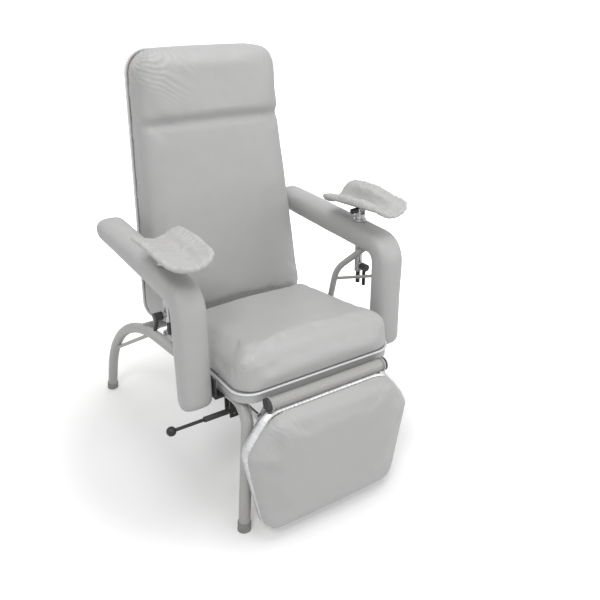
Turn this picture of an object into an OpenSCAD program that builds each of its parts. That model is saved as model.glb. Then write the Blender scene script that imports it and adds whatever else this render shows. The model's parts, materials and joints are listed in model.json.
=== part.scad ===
// Blood collection chair: two bent side hoops carry a wedge seat, padded arms
// with arm troughs, a reclining back and a leg rest that lifts with the back.
// Millimetres, +Z up, front towards -Y, origin on the floor under the middle.

/* [Side hoops and cross bars] */
// outer radius of the frame tube
tube_radius = 15.9; // [15:0.1:17]
// wall of the frame tube
tube_wall = 2; // [1.5:0.1:3]
// height of the level rail above the floor
rail_height = 384; // [376:1:388]
// half distance between the front feet
front_foot_x = 233.5; // [230:1:240]
// distance of the front feet in front of the origin
front_foot_y = 396.7; // [385:1:402]
// half distance between the rails at their front bend
rail_front_x = 210.2; // [208:0.2:216]
// distance of the front bend in front of the origin
rail_front_y = 401; // [392:1:404]
// half distance between the rails at their rear corner
rail_rear_x = 278.6; // [274:0.2:284]
// distance of the rear corner behind the origin
rail_rear_y = 358.6; // [350:1:370]
// half distance between the rear feet
rear_foot_x = 284.5; // [280:0.5:292]
// distance of the rear feet behind the origin
rear_foot_y = 488; // [478:1:498]
// bend radius at the top of the front leg
front_bend = 60; // [50:1:75]
// bend radius of the long rear curve
rear_bend = 416; // [380:1:440]
// wall of a foot cap around the tube
cap_wall = 2.4; // [1.5:0.1:4]
// height of a foot cap on the leg
cap_height = 26; // [18:1:40]
// thickness of the cap floor under the tube
cap_floor = 6; // [4:0.5:9]
// radius of the brace rod in the rear curve
brace_radius = 5.5; // [4:0.5:7]
// height at which the brace meets the rear curve
brace_leg_height = 196; // [180:1:215]
// distance of the brace's upper end behind the origin
brace_rail_y = 96; // [80:1:110]
// width of a cross bar
bar_width = 30; // [24:1:36]
// height of a cross bar
bar_height = 30; // [24:1:32]
// wall of a cross bar
bar_wall = 2; // [1.5:0.1:3]
// distance of the front cross bar in front of the origin
front_bar_y = 330; // [300:1:345]
// distance of the rear cross bar in front of the origin
rear_bar_y = 25; // [10:1:40]

/* [Seat] */
// width of the seat cushion
seat_width = 483; // [478:1:486]
// distance of the seat front in front of the origin
seat_front = 422.8; // [420:0.5:426]
// depth of the seat cushion from front to rear
seat_depth = 436; // [425:1:440]
// rise of the seam under the seat cushion above the rails' centre line
seat_rise = 42.3; // [38:0.5:48]
// height of the cushion above its seam at the front
seat_thickness = 104; // [96:1:110]
// slope of the seat top down to the rear
seat_slope = 7.8; // [6:0.1:8.5]
// corner radius of the seat seen from above
seat_corner = 56; // [48:1:62]
// rounding of the seat's top edge at the front
seat_edge = 46; // [36:1:50]
// rounding of the seat's top edge at the rear
seat_rear_edge = 22; // [16:1:26]
// rise of the seat top in its middle
seat_crown = 7; // [3:0.5:10]
// step of the base inside the cushion outline
base_inset = 3; // [2:0.5:6]
// height of a piping bead
bead_height = 6; // [5:0.5:8]
// reach of a piping bead outside its cushion
bead_reach = 2.5; // [1:0.5:4]
// width of the rebate that holds a bead
bead_width = 8; // [6:0.5:11]
// radius of a seat bolt
bolt_radius = 4; // [3:0.5:5]
// radius of a bolt head
bolt_head_radius = 7; // [6:0.5:8]
// height of a bolt head
bolt_head = 5; // [4:0.5:6]
// depth of a bolt in its board
bolt_depth = 14; // [9:1:18]
// half distance between the seat bolts
seat_bolt_x = 120; // [100:1:132]

/* [Arms] */
// room between the back's lower edge and the middle of an arm pad
arm_room = 43.3; // [42:0.3:47]
// distance of the upright arm pad in front of the origin
arm_front = 299.5; // [292:0.5:306]
// distance of the arm pad's rear end behind the origin
arm_rear = 232.8; // [220:1:240]
// drop of the upright pad's lower end below the rails' centre line
arm_foot_drop = 24; // [16:1:30]
// rise of the arm's front bend above the rails' centre line
arm_front_rise = 282; // [272:1:292]
// rise of the arm's rear end above the rails' centre line
arm_rear_rise = 307; // [298:1:316]
// half width of an arm pad
arm_half_width = 44.3; // [42:0.1:45]
// half thickness of an arm pad
arm_half_thick = 35.8; // [34:0.1:38]
// bend radius of the arm's centre line
arm_bend = 46; // [42:1:56]
// rounding of the arm pad's ends
arm_end = 30; // [22:1:34]
// half width of the board inside an arm pad
core_half_width = 26; // [20:1:30]
// thickness of the board inside an arm pad
core_thick = 12; // [9:1:15]
// cover of the board at the pad's ends
core_cover = 28; // [20:1:34]
// radius of the arm support tube
support_radius = 9.2; // [8:0.1:10]
// wall of the arm support tube
support_wall = 1.8; // [1.2:0.1:2.5]
// distance of the support's foot in front of the origin
support_foot_y = 88; // [80:1:96]
// how far the support's foot stands outside the middle of the rail
support_foot_out = 15.2; // [14.8:0.2:16]
// half distance between the supports' bends
support_bend_x = 256; // [252:1:258]
// distance of the support's bend in front of the origin
support_bend_y = 128; // [120:1:136]
// rise of the support's bend above the rails' centre line
support_bend_rise = 168; // [156:1:176]
// distance of a support's upper end outside the middle of its arm pad
support_top_out = 1.7; // [0:0.1:3]
// distance of the support's upper end in front of the origin
support_top_y = 240; // [234:1:244]
// bend radius of the arm support tube
support_bend = 110; // [90:1:125]
// radius of the short stay rod
stay_radius = 4.5; // [3.5:0.5:6]
// thickness of an arm bracket
bracket_thick = 5; // [4:0.5:6]
// length of an arm bracket along the rail
bracket_length = 46; // [36:1:52]
// height of the bracket's upright flange
bracket_flange = 58; // [48:1:64]

/* [Arm troughs] */
// distance of a trough post in front of the origin
post_y = 172; // [166:1:178]
// radius of a trough post
post_radius = 6.5; // [5.5:0.1:7]
// length of the post below its sleeve
post_tail = 38; // [30:1:44]
// outer radius of the post sleeve
sleeve_radius = 11; // [10:0.1:12.5]
// length of the sleeve below the clamp screw
sleeve_tail = 19; // [15:1:25]
// outer radius of the ring on top of the arm
ring_radius = 19; // [16:0.5:21]
// height of that ring above the arm
ring_height = 5; // [3:0.5:7]
// drop of the clamp screw below the arm's front bend
clamp_drop = 95; // [88:1:100]
// radius of the clamp's boss
boss_radius = 8; // [6:0.5:9]
// reach of the clamp's boss from the post's middle
boss_reach = 17; // [15:0.5:20]
// radius of the clamp handle's hub
hub_radius = 11; // [9:0.5:12]
// length of the clamp handle's hub
hub_length = 22; // [17:1:26]
// radius of the clamp handle's rod
handle_radius = 5.2; // [4:0.2:6.5]
// length of the clamp handle's rod
handle_length = 57; // [46:1:64]
// radius of the yoke's hub
yoke_radius = 14; // [12:0.5:16]
// height of the yoke's hub
yoke_height = 15; // [13:1:18]
// thickness of a yoke cheek
cheek_thick = 4; // [3:0.5:5]
// height of the tilt pin above the yoke's hub
tilt_rise = 12.5; // [10:0.5:13]
// radius of the tilt pin
tilt_pin_radius = 3; // [2.5:0.1:4]
// radius of the tilt knob
tilt_knob_radius = 8; // [7:0.5:8.2]
// length of the tilt knob
tilt_knob_length = 20; // [15:1:24]
// width of an arm trough
trough_width = 118; // [110:1:124]
// length of an arm trough
trough_length = 227; // [215:1:236]
// radius of the trough's hollow
trough_hollow = 75; // [70:1:90]
// thickness of the trough's shell
shell_thick = 3; // [2.5:0.1:4]
// thickness of the trough's cover
cover_thick = 10; // [7:0.5:12]
// corner radius of a trough seen from above
trough_corner = 28; // [22:1:34]
// turn of the left trough about its post
left_trough_turn = 1.3; // [-6:0.1:6]
// turn of the right trough about its post
right_trough_turn = 9; // [2:0.2:14]
// shift of the left trough along its mount
left_trough_shift = 60; // [50:1:62]
// shift of the right trough along its mount
right_trough_shift = 13.5; // [8:0.5:20]

/* [Back] */
// distance of the back's lower edge behind the origin
back_y = 132.5; // [130:0.5:136]
// rise of the back's lower edge above the rails' centre line
back_rise = 17.8; // [16:0.2:22]
// lean of the back from upright
back_lean = 6.3; // [5:0.1:7]
// length of the back
back_length = 773; // [750:1:790]
// width of the back at its lower end
back_bottom_width = 522; // [512:1:526]
// width of the back at its top
back_top_width = 425; // [415:1:440]
// corner radius of the back
back_corner = 68; // [60:1:76]
// thickness of the back with its cushion
back_thickness = 99; // [92:1:104]
// rounding of the back's front edge
back_edge = 34; // [26:1:40]
// rise of the back cushion in its middle
back_crown = 5; // [2:0.5:8]
// height of the crease under the head pillow along the back
crease_at = 580; // [560:1:600]
// depth of that crease
crease_depth = 17; // [10:1:22]
// half width of that crease
crease_width = 10; // [8:0.5:14]
// step of the main cushion behind the head pillow
pillow_step = 9; // [5:0.5:12]
// thickness of the board in the back
back_board_thick = 15; // [12:0.5:18]
// rise of the back's pivot above the rails' centre line
back_pivot_rise = 1; // [0:0.5:3]
// distance of the back's pivot behind the origin
back_pivot_y = 140; // [138:0.5:142]
// radius of the pivot shaft
shaft_radius = 8; // [7:0.5:9]
// radius of the boss that holds the shaft
shaft_boss_radius = 15; // [13:0.5:16]
// half distance between the inner faces of the bosses
shaft_boss_x = 220; // [216:1:224]
// radius of the back's bearing sleeve
bearing_radius = 13; // [12:0.5:14]
// wall of the leg rest's eye around the roll tube
ear_wall = 3.2; // [2.5:0.1:4]
// length of the back frame's straps
back_strap_length = 430; // [380:1:480]

/* [Leg rest] */
// distance of the roll tube in front of the origin
roll_y = 446; // [445:0.5:448]
// rise of the roll tube above the rails' centre line
roll_rise = 18.5; // [17:0.5:20]
// half length of the roll tube
roll_half = 178.5; // [178:0.1:180]
// thickness of a roll end cap
roll_cap = 5; // [4:0.5:6]
// distance of the leg rest's rear face in front of the origin
leg_y = 451.6; // [450.5:0.2:453]
// rise of the leg rest's upper edge above the rails' centre line
leg_rise = 1; // [0:0.5:1.5]
// lean of the leg rest's lower end to the rear
leg_lean = 2.8; // [1:0.1:4]
// length of the leg rest
leg_length = 355; // [345:1:360]
// half width of the leg rest at its top corners
leg_top_half = 150; // [140:1:154]
// half width of the leg rest at its widest corners
leg_mid_half = 191; // [185:1:194]
// distance of the widest corners below the upper edge
leg_mid_at = 115; // [105:1:125]
// half width of the leg rest at its lower corners
leg_low_half = 158; // [150:1:164]
// corner radius of the leg rest
leg_corner = 60; // [54:1:64]
// thickness of the leg rest with its cushion
leg_thickness = 52; // [48:1:56]
// rounding of the leg rest's front edge
leg_edge = 24; // [18:1:28]
// rise of the leg rest cushion in its middle
leg_crown = 4; // [2:0.5:6]
// thickness of the board in the leg rest
leg_board_thick = 14; // [12:0.5:15]

/* [Linkage] */
// thickness of a strap or lever plate
plate_thick = 5; // [4:0.5:6]
// width of a strap
strap_width = 22; // [18:1:24]
// half distance between the inner faces of the lever plates
plate_x = 172; // [171:0.5:173]
// distance of a link pin behind its pivot
pin_back = 40; // [36:1:44]
// distance of a link pin below its pivot
pin_down = 60; // [54:1:64]
// radius of a link pin
pin_radius = 5; // [4:0.5:6]
// radius of a link pin's head
pin_head_radius = 8; // [7:0.5:9]
// height of a link pin's head
pin_head = 3; // [2:0.5:4]
// thickness of a push rod
rod_thick = 6; // [5:0.5:7]
// half height of a push rod
rod_half = 9; // [7:0.5:10]
// radius of a push rod's eye
rod_eye = 12; // [11:0.5:13]
// side gap between a push rod and its lever
side_gap = 0.8; // [0.4:0.1:1.2]
// half height of a stiffener on a board
stiffener_half = 16; // [12:1:20]
// thickness of a stiffener
stiffener_thick = 3; // [2.5:0.5:4]

/* [Recline lever] */
// distance of the lever in front of the origin
lever_y = 319; // [312:1:324]
// drop of the lever below the rails' centre line
lever_drop = 54; // [52:1:58]
// distance of the lever's pivot left of the origin
lever_pivot_x = 214; // [211:1:217]
// radius of the lever's rod
lever_radius = 4.5; // [4:0.1:5.5]
// radius of the lever's sleeve
lever_sleeve_radius = 7.5; // [6.5:0.1:8.5]
// length of the lever's sleeve
lever_sleeve_length = 68; // [58:1:76]
// length of the lever from its pivot to the ball's middle
lever_length = 168; // [158:1:176]
// radius of the lever's ball
ball_radius = 12.5; // [11:0.5:13.5]
// radius of the lever's hub
lever_hub_radius = 10; // [9:0.5:11]
// length of the lever's hub
lever_hub_length = 20; // [16:1:24]
// radius of the lever's pin
lever_pin_radius = 4; // [3:0.5:5]
// half width of a lever bracket cheek
lever_cheek_half = 12; // [11:0.5:14]

/* [Hidden] */
// height of the seam between the seat cushion and its base
seat_level = rail_height + seat_rise;
// height of the upright pad's lower end
arm_bottom = rail_height - arm_foot_drop;
// height of the arm's centre line at the front bend
arm_height = rail_height + arm_front_rise;
// height of the arm's centre line at the rear end
arm_rear_height = rail_height + arm_rear_rise;
// height of the clamp screw above the floor
clamp_height = arm_height - clamp_drop;
// height of the sleeve's lower end
sleeve_bottom = clamp_height - sleeve_tail;
// height of the post's lower end
post_bottom = sleeve_bottom - post_tail;
// height of the support's bend
support_bend_z = rail_height + support_bend_rise;
// height of the back's lower edge
back_z = rail_height + back_rise;
// height of the back's pivot above the floor
back_pivot_z = rail_height + back_pivot_rise;
// height of the roll tube
roll_z = rail_height + roll_rise;
// height of the leg rest's upper edge
leg_z = rail_height + leg_rise;
// height of the lever
lever_z = rail_height - lever_drop;
// half distance between the arm pads
arm_x = back_bottom_width / 2 + arm_room;
// half distance between the supports' upper ends
support_top_x = arm_x + support_top_out;
// names of the pieces
// piece to draw, or all of them
// facets of a full circle, and of the circle of a bend
round_facets = 64;
bend_facets = 360;
// loss of a tube's radius where it is bent
bend_thinning = 0.05;
// reach of a bore past the ends of its tube, as a share of the end's length
overrun_share = 0.02;
$fn = round_facets;
// gap of a running fit on the radius
running_gap = 0.05;
// gap between a piece and its neighbour
seat_gap = 0.3;
// reach of a cutting shape past the surface it cuts
overrun = 1;
// colours of the materials
vinyl_colour = [0.72, 0.73, 0.75];
bead_colour = [0.9, 0.91, 0.92];
tube_colour = [0.82, 0.82, 0.81];
steel_colour = [0.66, 0.67, 0.69];
black_colour = [0.07, 0.07, 0.08];
rubber_colour = [0.55, 0.55, 0.55];
wood_colour = [0.75, 0.65, 0.52];
cover_colour = [0.93, 0.93, 0.92];

// direction of the vector v
function unit(v) = v / norm(v);

// middle of the arc that rounds the corner b between a and c
function arc_middle(a, b, c, radius) =
  let(u = unit(a - b), v = unit(c - b), half = acos(u * v) / 2)
  b + unit(u + v) * radius / sin(half);

// length cut from each leg of the corner b by its arc
function arc_cut(a, b, c, radius) =
  let(u = unit(a - b), v = unit(c - b), half = acos(u * v) / 2)
  radius / tan(half);

// angle turned by the tube in the corner b
function arc_turn(a, b, c) = 180 - acos(unit(a - b) * unit(c - b));

// round bar of the radius r from a to b
module bar_between(a, b, r, turned = 0) {
  along = b - a;
  translate(a)
    rotate([0, acos(along[2] / norm(along)), atan2(along[1], along[0])])
      rotate([0, 0, turned])
        cylinder(r = r, h = norm(along));
}

// arc of a round bar of the radius r in the corner b
module bar_corner(a, b, c, radius, r) {
  middle = arc_middle(a, b, c, radius);
  start = b + unit(a - b) * arc_cut(a, b, c, radius);
  ex = unit(start - middle);
  ez = unit(cross(b - a, c - b));
  ey = cross(ez, ex);
  translate(middle)
    rotate([atan2(ey[2], ez[2]), -asin(ex[2]), atan2(ex[1], ex[0])])
      rotate_extrude(angle = arc_turn(a, b, c), $fn = bend_facets)
        translate([radius, 0])
          circle(r = r - bend_thinning, $fn = round_facets);
}

// point on the leg of the corner b towards a, a little into its arc
function leg_end(a, b, c, radius) = b + unit(a - b) * (arc_cut(a, b, c, radius) - overrun);

// round bar of the radius r through four points with two rounded corners
module bar_of_four(p, bends, r) {
  bar_corner(p[0], p[1], p[2], bends[0], r);
  bar_corner(p[1], p[2], p[3], bends[1], r);
  bar_between(p[0], leg_end(p[0], p[1], p[2], bends[0]), r);
  bar_between(leg_end(p[2], p[1], p[0], bends[0]), leg_end(p[1], p[2], p[3], bends[1]), r);
  bar_between(leg_end(p[3], p[2], p[1], bends[1]), p[3], r);
}

// round bar of the radius r through three points with one rounded corner
module bar_of_three(p, bend, r) {
  bar_corner(p[0], p[1], p[2], bend, r);
  bar_between(p[0], leg_end(p[0], p[1], p[2], bend), r);
  bar_between(leg_end(p[2], p[1], p[0], bend), p[2], r);
}

// copy on the left (-1) or the right (1) side
module on_side(side) {
  if (side > 0) children();
  else mirror([1, 0, 0]) children();
}

// pin or disc along X from x0 to x1 at the height and depth given
module along_x(x0, x1, y, z, r) {
  translate([x0, y, z])
    rotate([0, 90, 0])
      cylinder(r = r, h = x1 - x0);
}

// plate across X between x0 and x1, drawn as depth and height
module plate_across_x(x0, x1) {
  translate([x0, 0, 0])
    rotate([90, 0, 90])
      linear_extrude(height = x1 - x0)
        children();
}

// hoop of the right side
front_foot = [front_foot_x, -front_foot_y, 0];
front_top = [rail_front_x, -rail_front_y, rail_height];
rear_top = [rail_rear_x, rail_rear_y, rail_height];
rear_foot = [rear_foot_x, rear_foot_y, 0];
front_up = unit(front_top - front_foot);
rear_up = unit(rear_top - rear_foot);
hoop_bends = [front_bend, rear_bend];
hoop_points = [front_foot + front_up * cap_floor, front_top, rear_top, rear_foot + rear_up * cap_floor];

hoop_bore_points = [front_foot - front_up * overrun, front_top, rear_top, rear_foot - rear_up * overrun];

module hoop_body() {
  bar_of_four(hoop_points, hoop_bends, tube_radius);
}

module hoop(side) {
  color(tube_colour)
    on_side(side)
      difference() {
        hoop_body();
        bar_of_four(hoop_bore_points, hoop_bends, tube_radius - tube_wall);
      }
}

module side_hoop_left() { hoop(-1); }
module side_hoop_right() { hoop(1); }

// cap on the leg that starts at the foot and runs up along the direction up
cap_turn = 90;
module foot_cap(foot, up) {
  difference() {
    intersection() {
      bar_between(foot - up * cap_height, foot + up * cap_height, tube_radius + cap_wall, cap_turn);
      translate(foot - [cap_height, cap_height, 0])
        cube([2 * cap_height, 2 * cap_height, 2 * cap_height]);
    }
    bar_between(foot + up * cap_floor, foot + up * (cap_height + overrun), tube_radius, cap_turn);
  }
}

module foot_caps() {
  color(rubber_colour)
    for (side = [-1, 1])
      on_side(side) {
        foot_cap(front_foot, front_up);
        foot_cap(rear_foot, rear_up);
      }
}

// middle of the rear curve and a point on it at the angle turned from level
rear_curve_middle = arc_middle(hoop_points[1], hoop_points[2], hoop_points[3], rear_bend);
rear_rail_cut = arc_cut(hoop_points[1], hoop_points[2], hoop_points[3], rear_bend);
rear_curve_start = rear_top + unit(front_top - rear_top) * rear_rail_cut;
rear_curve_end = rear_top + unit(rear_foot - rear_top) * rear_rail_cut;
rear_curve_turn = arc_turn(hoop_points[1], hoop_points[2], hoop_points[3]);
function rear_curve_at(turned) =
  let(u = rear_curve_start - rear_curve_middle, v = rear_curve_end - rear_curve_middle)
  rear_curve_middle + (u * sin(rear_curve_turn - turned) + v * sin(turned)) / sin(rear_curve_turn);
brace_low_turn = acos((brace_leg_height - rear_curve_middle[2]) / rear_bend);
brace_low = rear_curve_at(brace_low_turn);
brace_high = rear_curve_at(asin((brace_rail_y - rear_curve_start[1]) / rear_bend));

module brace(side) {
  color(tube_colour)
    on_side(side)
      difference() {
        bar_between(brace_low, brace_high, brace_radius);
        hoop_body();
      }
}

module hoop_brace_left() { brace(-1); }
module hoop_brace_right() { brace(1); }

// seat base rests on the cross bars just above the rails
base_bottom = rail_height + tube_radius + seat_gap;

// hollow square bar between the rails at the depth y
module bar_block(y) {
  translate([-rail_rear_x, y - bar_width / 2, base_bottom - bar_height])
    cube([2 * rail_rear_x, bar_width, bar_height]);
}

module cross_bar(y) {
  half = rail_rear_x;
  difference() {
    bar_block(y);
    translate([-half - overrun, y - bar_width / 2 + bar_wall, base_bottom - bar_height + bar_wall])
      cube([2 * half + 2 * overrun, bar_width - 2 * bar_wall, bar_height - 2 * bar_wall]);
    for (side = [-1, 1])
      on_side(side) {
        hoop_body();
        translate([rail_front_x + (y + rail_front_y) * rail_spread, y - bar_width, rail_height - bar_height])
          cube([rail_rear_x, 2 * bar_width, 2 * bar_height]);
      }
    for (x = [-seat_bolt_x, seat_bolt_x])
      translate([x, y, base_bottom - bar_height - overrun])
        cylinder(r = bolt_radius, h = bar_height + 2 * overrun);
  }
}
// sideways run of a rail for each unit of depth
rail_spread = (rail_rear_x - rail_front_x) / (rail_rear_y + rail_front_y);

module cross_bar_front() { color(tube_colour) cross_bar(-front_bar_y); }
module cross_bar_rear() { color(tube_colour) cross_bar(-rear_bar_y); }

module seat_bolts() {
  color(steel_colour)
    for (x = [-seat_bolt_x, seat_bolt_x], y = [-front_bar_y, -rear_bar_y])
      translate([x, y, base_bottom - bar_height - bolt_head]) {
        cylinder(r = bolt_head_radius, h = bolt_head);
        cylinder(r = bolt_radius, h = bolt_head + bar_height + bolt_depth);
      }
}

// flat outline around circles of the radius r at the points c, counterclockwise
module round_outline(c, r) {
  count = len(c);
  polygon([for (i = [0 : count - 1]) let(
      before = unit(c[i] - c[(i + count - 1) % count]),
      after = unit(c[(i + 1) % count] - c[i]))
    for (d = [before, after]) c[i] + r * [d[1], -d[0]]]);
  for (p = c)
    translate(p)
      circle(r = r);
}

// seat outline seen from above, drawn inwards by the inset
module seat_outline(inset) {
  r = seat_corner - inset;
  x = seat_width / 2 - seat_corner;
  rear = seat_depth - seat_corner;
  translate([0, -seat_front])
    round_outline([[-x, seat_corner], [x, seat_corner], [x, rear], [-x, rear]], r);
}

bead_bottom = seat_level - bead_height / 2;
bead_top = seat_level + bead_height / 2;

module seat_base() {
  color(vinyl_colour)
    difference() {
      union() {
        translate([0, 0, base_bottom])
          linear_extrude(height = bead_bottom - base_bottom)
            seat_outline(base_inset);
        translate([0, 0, base_bottom])
          linear_extrude(height = bead_top - base_bottom)
            seat_outline(bead_width);
      }
      for (x = [-seat_bolt_x, seat_bolt_x], y = [-front_bar_y, -rear_bar_y])
        translate([x, y, base_bottom - overrun])
          cylinder(r = bolt_radius, h = bolt_depth + overrun);
    }
}

module seat_piping() {
  color(bead_colour)
    translate([0, 0, bead_bottom])
      linear_extrude(height = bead_height)
        difference() {
          seat_outline(-bead_reach);
          seat_outline(bead_width);
        }
}

// closed skin over rows of points, each row a closed loop of the same length
module skin(rows) {
  count = len(rows[0]);
  last = len(rows) - 1;
  points = [for (row = rows) for (p = row) p];
  sides = [for (i = [0 : last - 1]) for (j = [0 : count - 1]) let(
      a = i * count + j, b = i * count + (j + 1) % count)
    for (t = [[a, a + count, b], [b, a + count, b + count]]) t];
  ends = [[for (j = [0 : count - 1]) j], [for (j = [count - 1 : -1 : 0]) last * count + j]];
  polyhedron(points = points, faces = concat(sides, ends));
}

// half section of a cushion: base, side, rounded edge and crown
side_steps = [0, 0.5, 1];
edge_steps = [20, 40, 60, 80];
crown_steps = [0.62, 0.22];
// share by which a cushion's side is drawn in at its seam
draw_in_share = 0.03;
function half_section(w, h, e, crown) = concat(
  [for (t = side_steps) [w - (1 - t) * (1 - t) * h * draw_in_share, t * (h - e)]],
  [for (a = edge_steps) [w - e + e * cos(a), h - e + e * sin(a)]],
  [for (t = crown_steps) [t * (w - e), h + crown * (1 - t * t)]]);

// closed section at the length s along the cushion
function section(s, w, h, e, crown) =
  let(half = half_section(w, h, e, crown), count = len(half))
  concat([for (p = half) [p[0], s, p[1]]],
         [for (i = [count - 1 : -1 : 0]) [-half[i][0], s, half[i][1]]]);

// share of a full quarter round reached at the distance d of the radius r
function round_share(d, r) = d >= r ? 1 : sqrt(1 - (1 - d / r) * (1 - d / r));

// steps of a cushion's end, as shares of its corner radius
end_steps = [0, 0.05, 0.17, 0.36, 0.62, 1];

// rows of the seat cushion from front to rear
seat_side = [for (t = [0.25, 0.4, 0.55, 0.7]) t * seat_depth];
seat_stations = concat(
  [for (t = end_steps) t * seat_corner],
  seat_side,
  [for (i = [len(end_steps) - 1 : -1 : 0]) seat_depth - end_steps[i] * seat_corner]);
function seat_edge_at(s) = seat_edge + (seat_rear_edge - seat_edge) * s / seat_depth;
function seat_height_at(s) = seat_thickness - bead_height / 2 - s * tan(seat_slope);
function seat_row(s) =
  let(d = min(s, seat_depth - s), e = seat_edge_at(s), k = round_share(d, seat_corner))
  section(s,
    seat_width / 2 - seat_corner * (1 - k),
    seat_height_at(s) - e * (1 - round_share(d, e)),
    e * max(end_edge_share, k),
    seat_crown * k);
// share of the edge rounding kept at a cushion's very end
end_edge_share = 0.25;

module seat_cushion() {
  color(vinyl_colour)
    translate([0, -seat_front, bead_top])
      skin([for (s = seat_stations) seat_row(s)]);
}

// arm pad: rows along the upright part, the bend and the level part
arm_rise = atan((arm_rear_height - arm_height) / (arm_rear + arm_front));
arm_turn = 90 - arm_rise;
arm_cut = arm_bend * tan(arm_turn / 2);
arm_corner = [-arm_front, arm_height];
arm_level = [cos(arm_rise), sin(arm_rise)];
arm_bend_middle = arm_corner + [arm_bend, -arm_cut];
arm_upright_length = arm_height - arm_cut - arm_bottom;
arm_level_length = (arm_rear + arm_front) / cos(arm_rise) - arm_cut;
arm_end_steps = [0, 0.12, 0.4, 1];
arm_bend_steps = [0.25, 0.5, 0.75];
arm_section_count = 22;
// power of the arm pad's rounded section, 1 for an ellipse
arm_squareness = 0.72;
function squared(v) = sign(v) * pow(abs(v), arm_squareness);
function arm_row(at, angle, scale_by) =
  [for (i = [0 : arm_section_count - 1]) let(
      a = 360 * i / arm_section_count,
      t = squared(sin(a)) * arm_half_thick * scale_by)
    [squared(cos(a)) * (arm_half_width - arm_end * (1 - scale_by) * end_edge_share),
     at[0] - t * cos(angle), at[1] + t * sin(angle)]];
function end_scale(d) = 1 - (1 - round_share(d, arm_end)) * arm_end / arm_half_thick;
arm_rows = concat(
  [for (t = arm_end_steps) arm_row([-arm_front, arm_bottom + t * arm_end], 0, end_scale(t * arm_end))],
  [arm_row([-arm_front, arm_bottom + arm_upright_length], 0, 1)],
  [for (t = arm_bend_steps) arm_row(
    arm_bend_middle + arm_bend * [-cos(t * arm_turn), sin(t * arm_turn)], t * arm_turn, 1)],
  [for (t = [0, 0.5]) arm_row(
    arm_corner + arm_level * (arm_cut + t * arm_level_length), arm_turn, 1)],
  [for (i = [len(arm_end_steps) - 1 : -1 : 0]) arm_row(
    arm_corner + arm_level * (arm_cut + arm_level_length - arm_end_steps[i] * arm_end),
    arm_turn, end_scale(arm_end_steps[i] * arm_end))]);

// board inside an arm pad, upright and level
core_half = core_thick / 2;
core_end = arm_rear + arm_front - core_cover;
core_along = [cos(arm_rise), sin(arm_rise)];
core_across = [-sin(arm_rise), cos(arm_rise)];
core_corner = [-arm_front, arm_height];
// how far the rising board's faces move along it where they meet the upright board's faces
core_mitre = core_half * (1 - sin(arm_rise)) / cos(arm_rise);
module core_body() {
  plate_across_x(-core_half_width, core_half_width)
    polygon([
      [-arm_front - core_half, arm_bottom + core_cover],
      [-arm_front + core_half, arm_bottom + core_cover],
      core_corner + core_along * core_mitre - core_across * core_half,
      core_corner + core_along * core_end - core_across * core_half,
      core_corner + core_along * core_end + core_across * core_half,
      core_corner - core_along * core_mitre + core_across * core_half]);
}

post_place = [0, -post_y, 0];
arm_top_at_post = arm_height + (arm_front - post_y) * tan(arm_rise) + arm_half_thick;

// hole through pad and board for the post sleeve
module sleeve_hole() {
  translate(post_place + [0, 0, sleeve_bottom])
    cylinder(r = sleeve_radius, h = 2 * (arm_top_at_post - sleeve_bottom));
}

module arm_core(side) {
  color(wood_colour)
    on_side(side)
      translate([arm_x, 0, 0])
        difference() {
          core_body();
          sleeve_hole();
          bracket_bolts_body();
        }
}

module arm_core_left() { arm_core(-1); }
module arm_core_right() { arm_core(1); }

support_points = [
  [rail_front_x + (rail_front_y - support_foot_y) * rail_spread + support_foot_out, -support_foot_y,
    rail_height],
  [support_bend_x, -support_bend_y, support_bend_z],
  [support_top_x, -support_top_y, arm_height]];

support_bore_points = [
  support_points[0] * (1 + overrun_share) - support_points[1] * overrun_share,
  support_points[1],
  support_points[2] * (1 + overrun_share) - support_points[1] * overrun_share];

module support_body() {
  bar_of_three(support_points, support_bend, support_radius);
}

module arm_pad(side) {
  color(vinyl_colour)
    on_side(side)
      difference() {
        translate([arm_x, 0, 0])
          difference() {
            skin(arm_rows);
            sleeve_hole();
            bracket_bolts_body();
          }
        stay_body();
        support_body();
        translate([arm_x, 0, 0])
          core_body();
      }
}

module arm_pad_left() { arm_pad(-1); }
module arm_pad_right() { arm_pad(1); }

module arm_support(side) {
  color(tube_colour)
    on_side(side)
      difference() {
        support_body();
        bar_of_three(support_bore_points, support_bend, support_radius - support_wall);
        hoop_body();
        translate([arm_x, 0, 0])
          core_body();
      }
}

module arm_support_left() { arm_support(-1); }
module arm_support_right() { arm_support(1); }

// stay from the support tube to the upright part of the arm
stay_low_share = 0.8;
stay_high_share = 0.72;
stay_points = [
  support_points[0] + (support_points[1] - support_points[0]) * stay_low_share,
  [arm_x - core_half_width / 2, -arm_front + core_thick / 2,
   arm_bottom + (arm_height - arm_bottom) * stay_high_share]];

module stay_body() {
  bar_between(stay_points[0], stay_points[1], stay_radius);
}

module arm_stay(side) {
  color(tube_colour)
    on_side(side)
      difference() {
        stay_body();
        support_body();
        translate([arm_x, 0, 0])
          core_body();
      }
}

module arm_stay_left() { arm_stay(-1); }
module arm_stay_right() { arm_stay(1); }

// bracket between the rail and the lower end of the upright arm pad
bracket_rail_x = rail_front_x + (rail_front_y - arm_front) * rail_spread;
bracket_outer_x = arm_x - arm_half_width;
bracket_bolt_share = 0.7;
bracket_bolt_z = rail_height + bracket_flange * bracket_bolt_share;

// bolt through the bracket into the arm's board, seen from the arm's middle
module bracket_bolts_body() {
  along_x(-arm_half_width - bracket_thick - overrun, -core_half_width + bolt_depth,
    -arm_front, bracket_bolt_z, bolt_radius);
}

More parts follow.
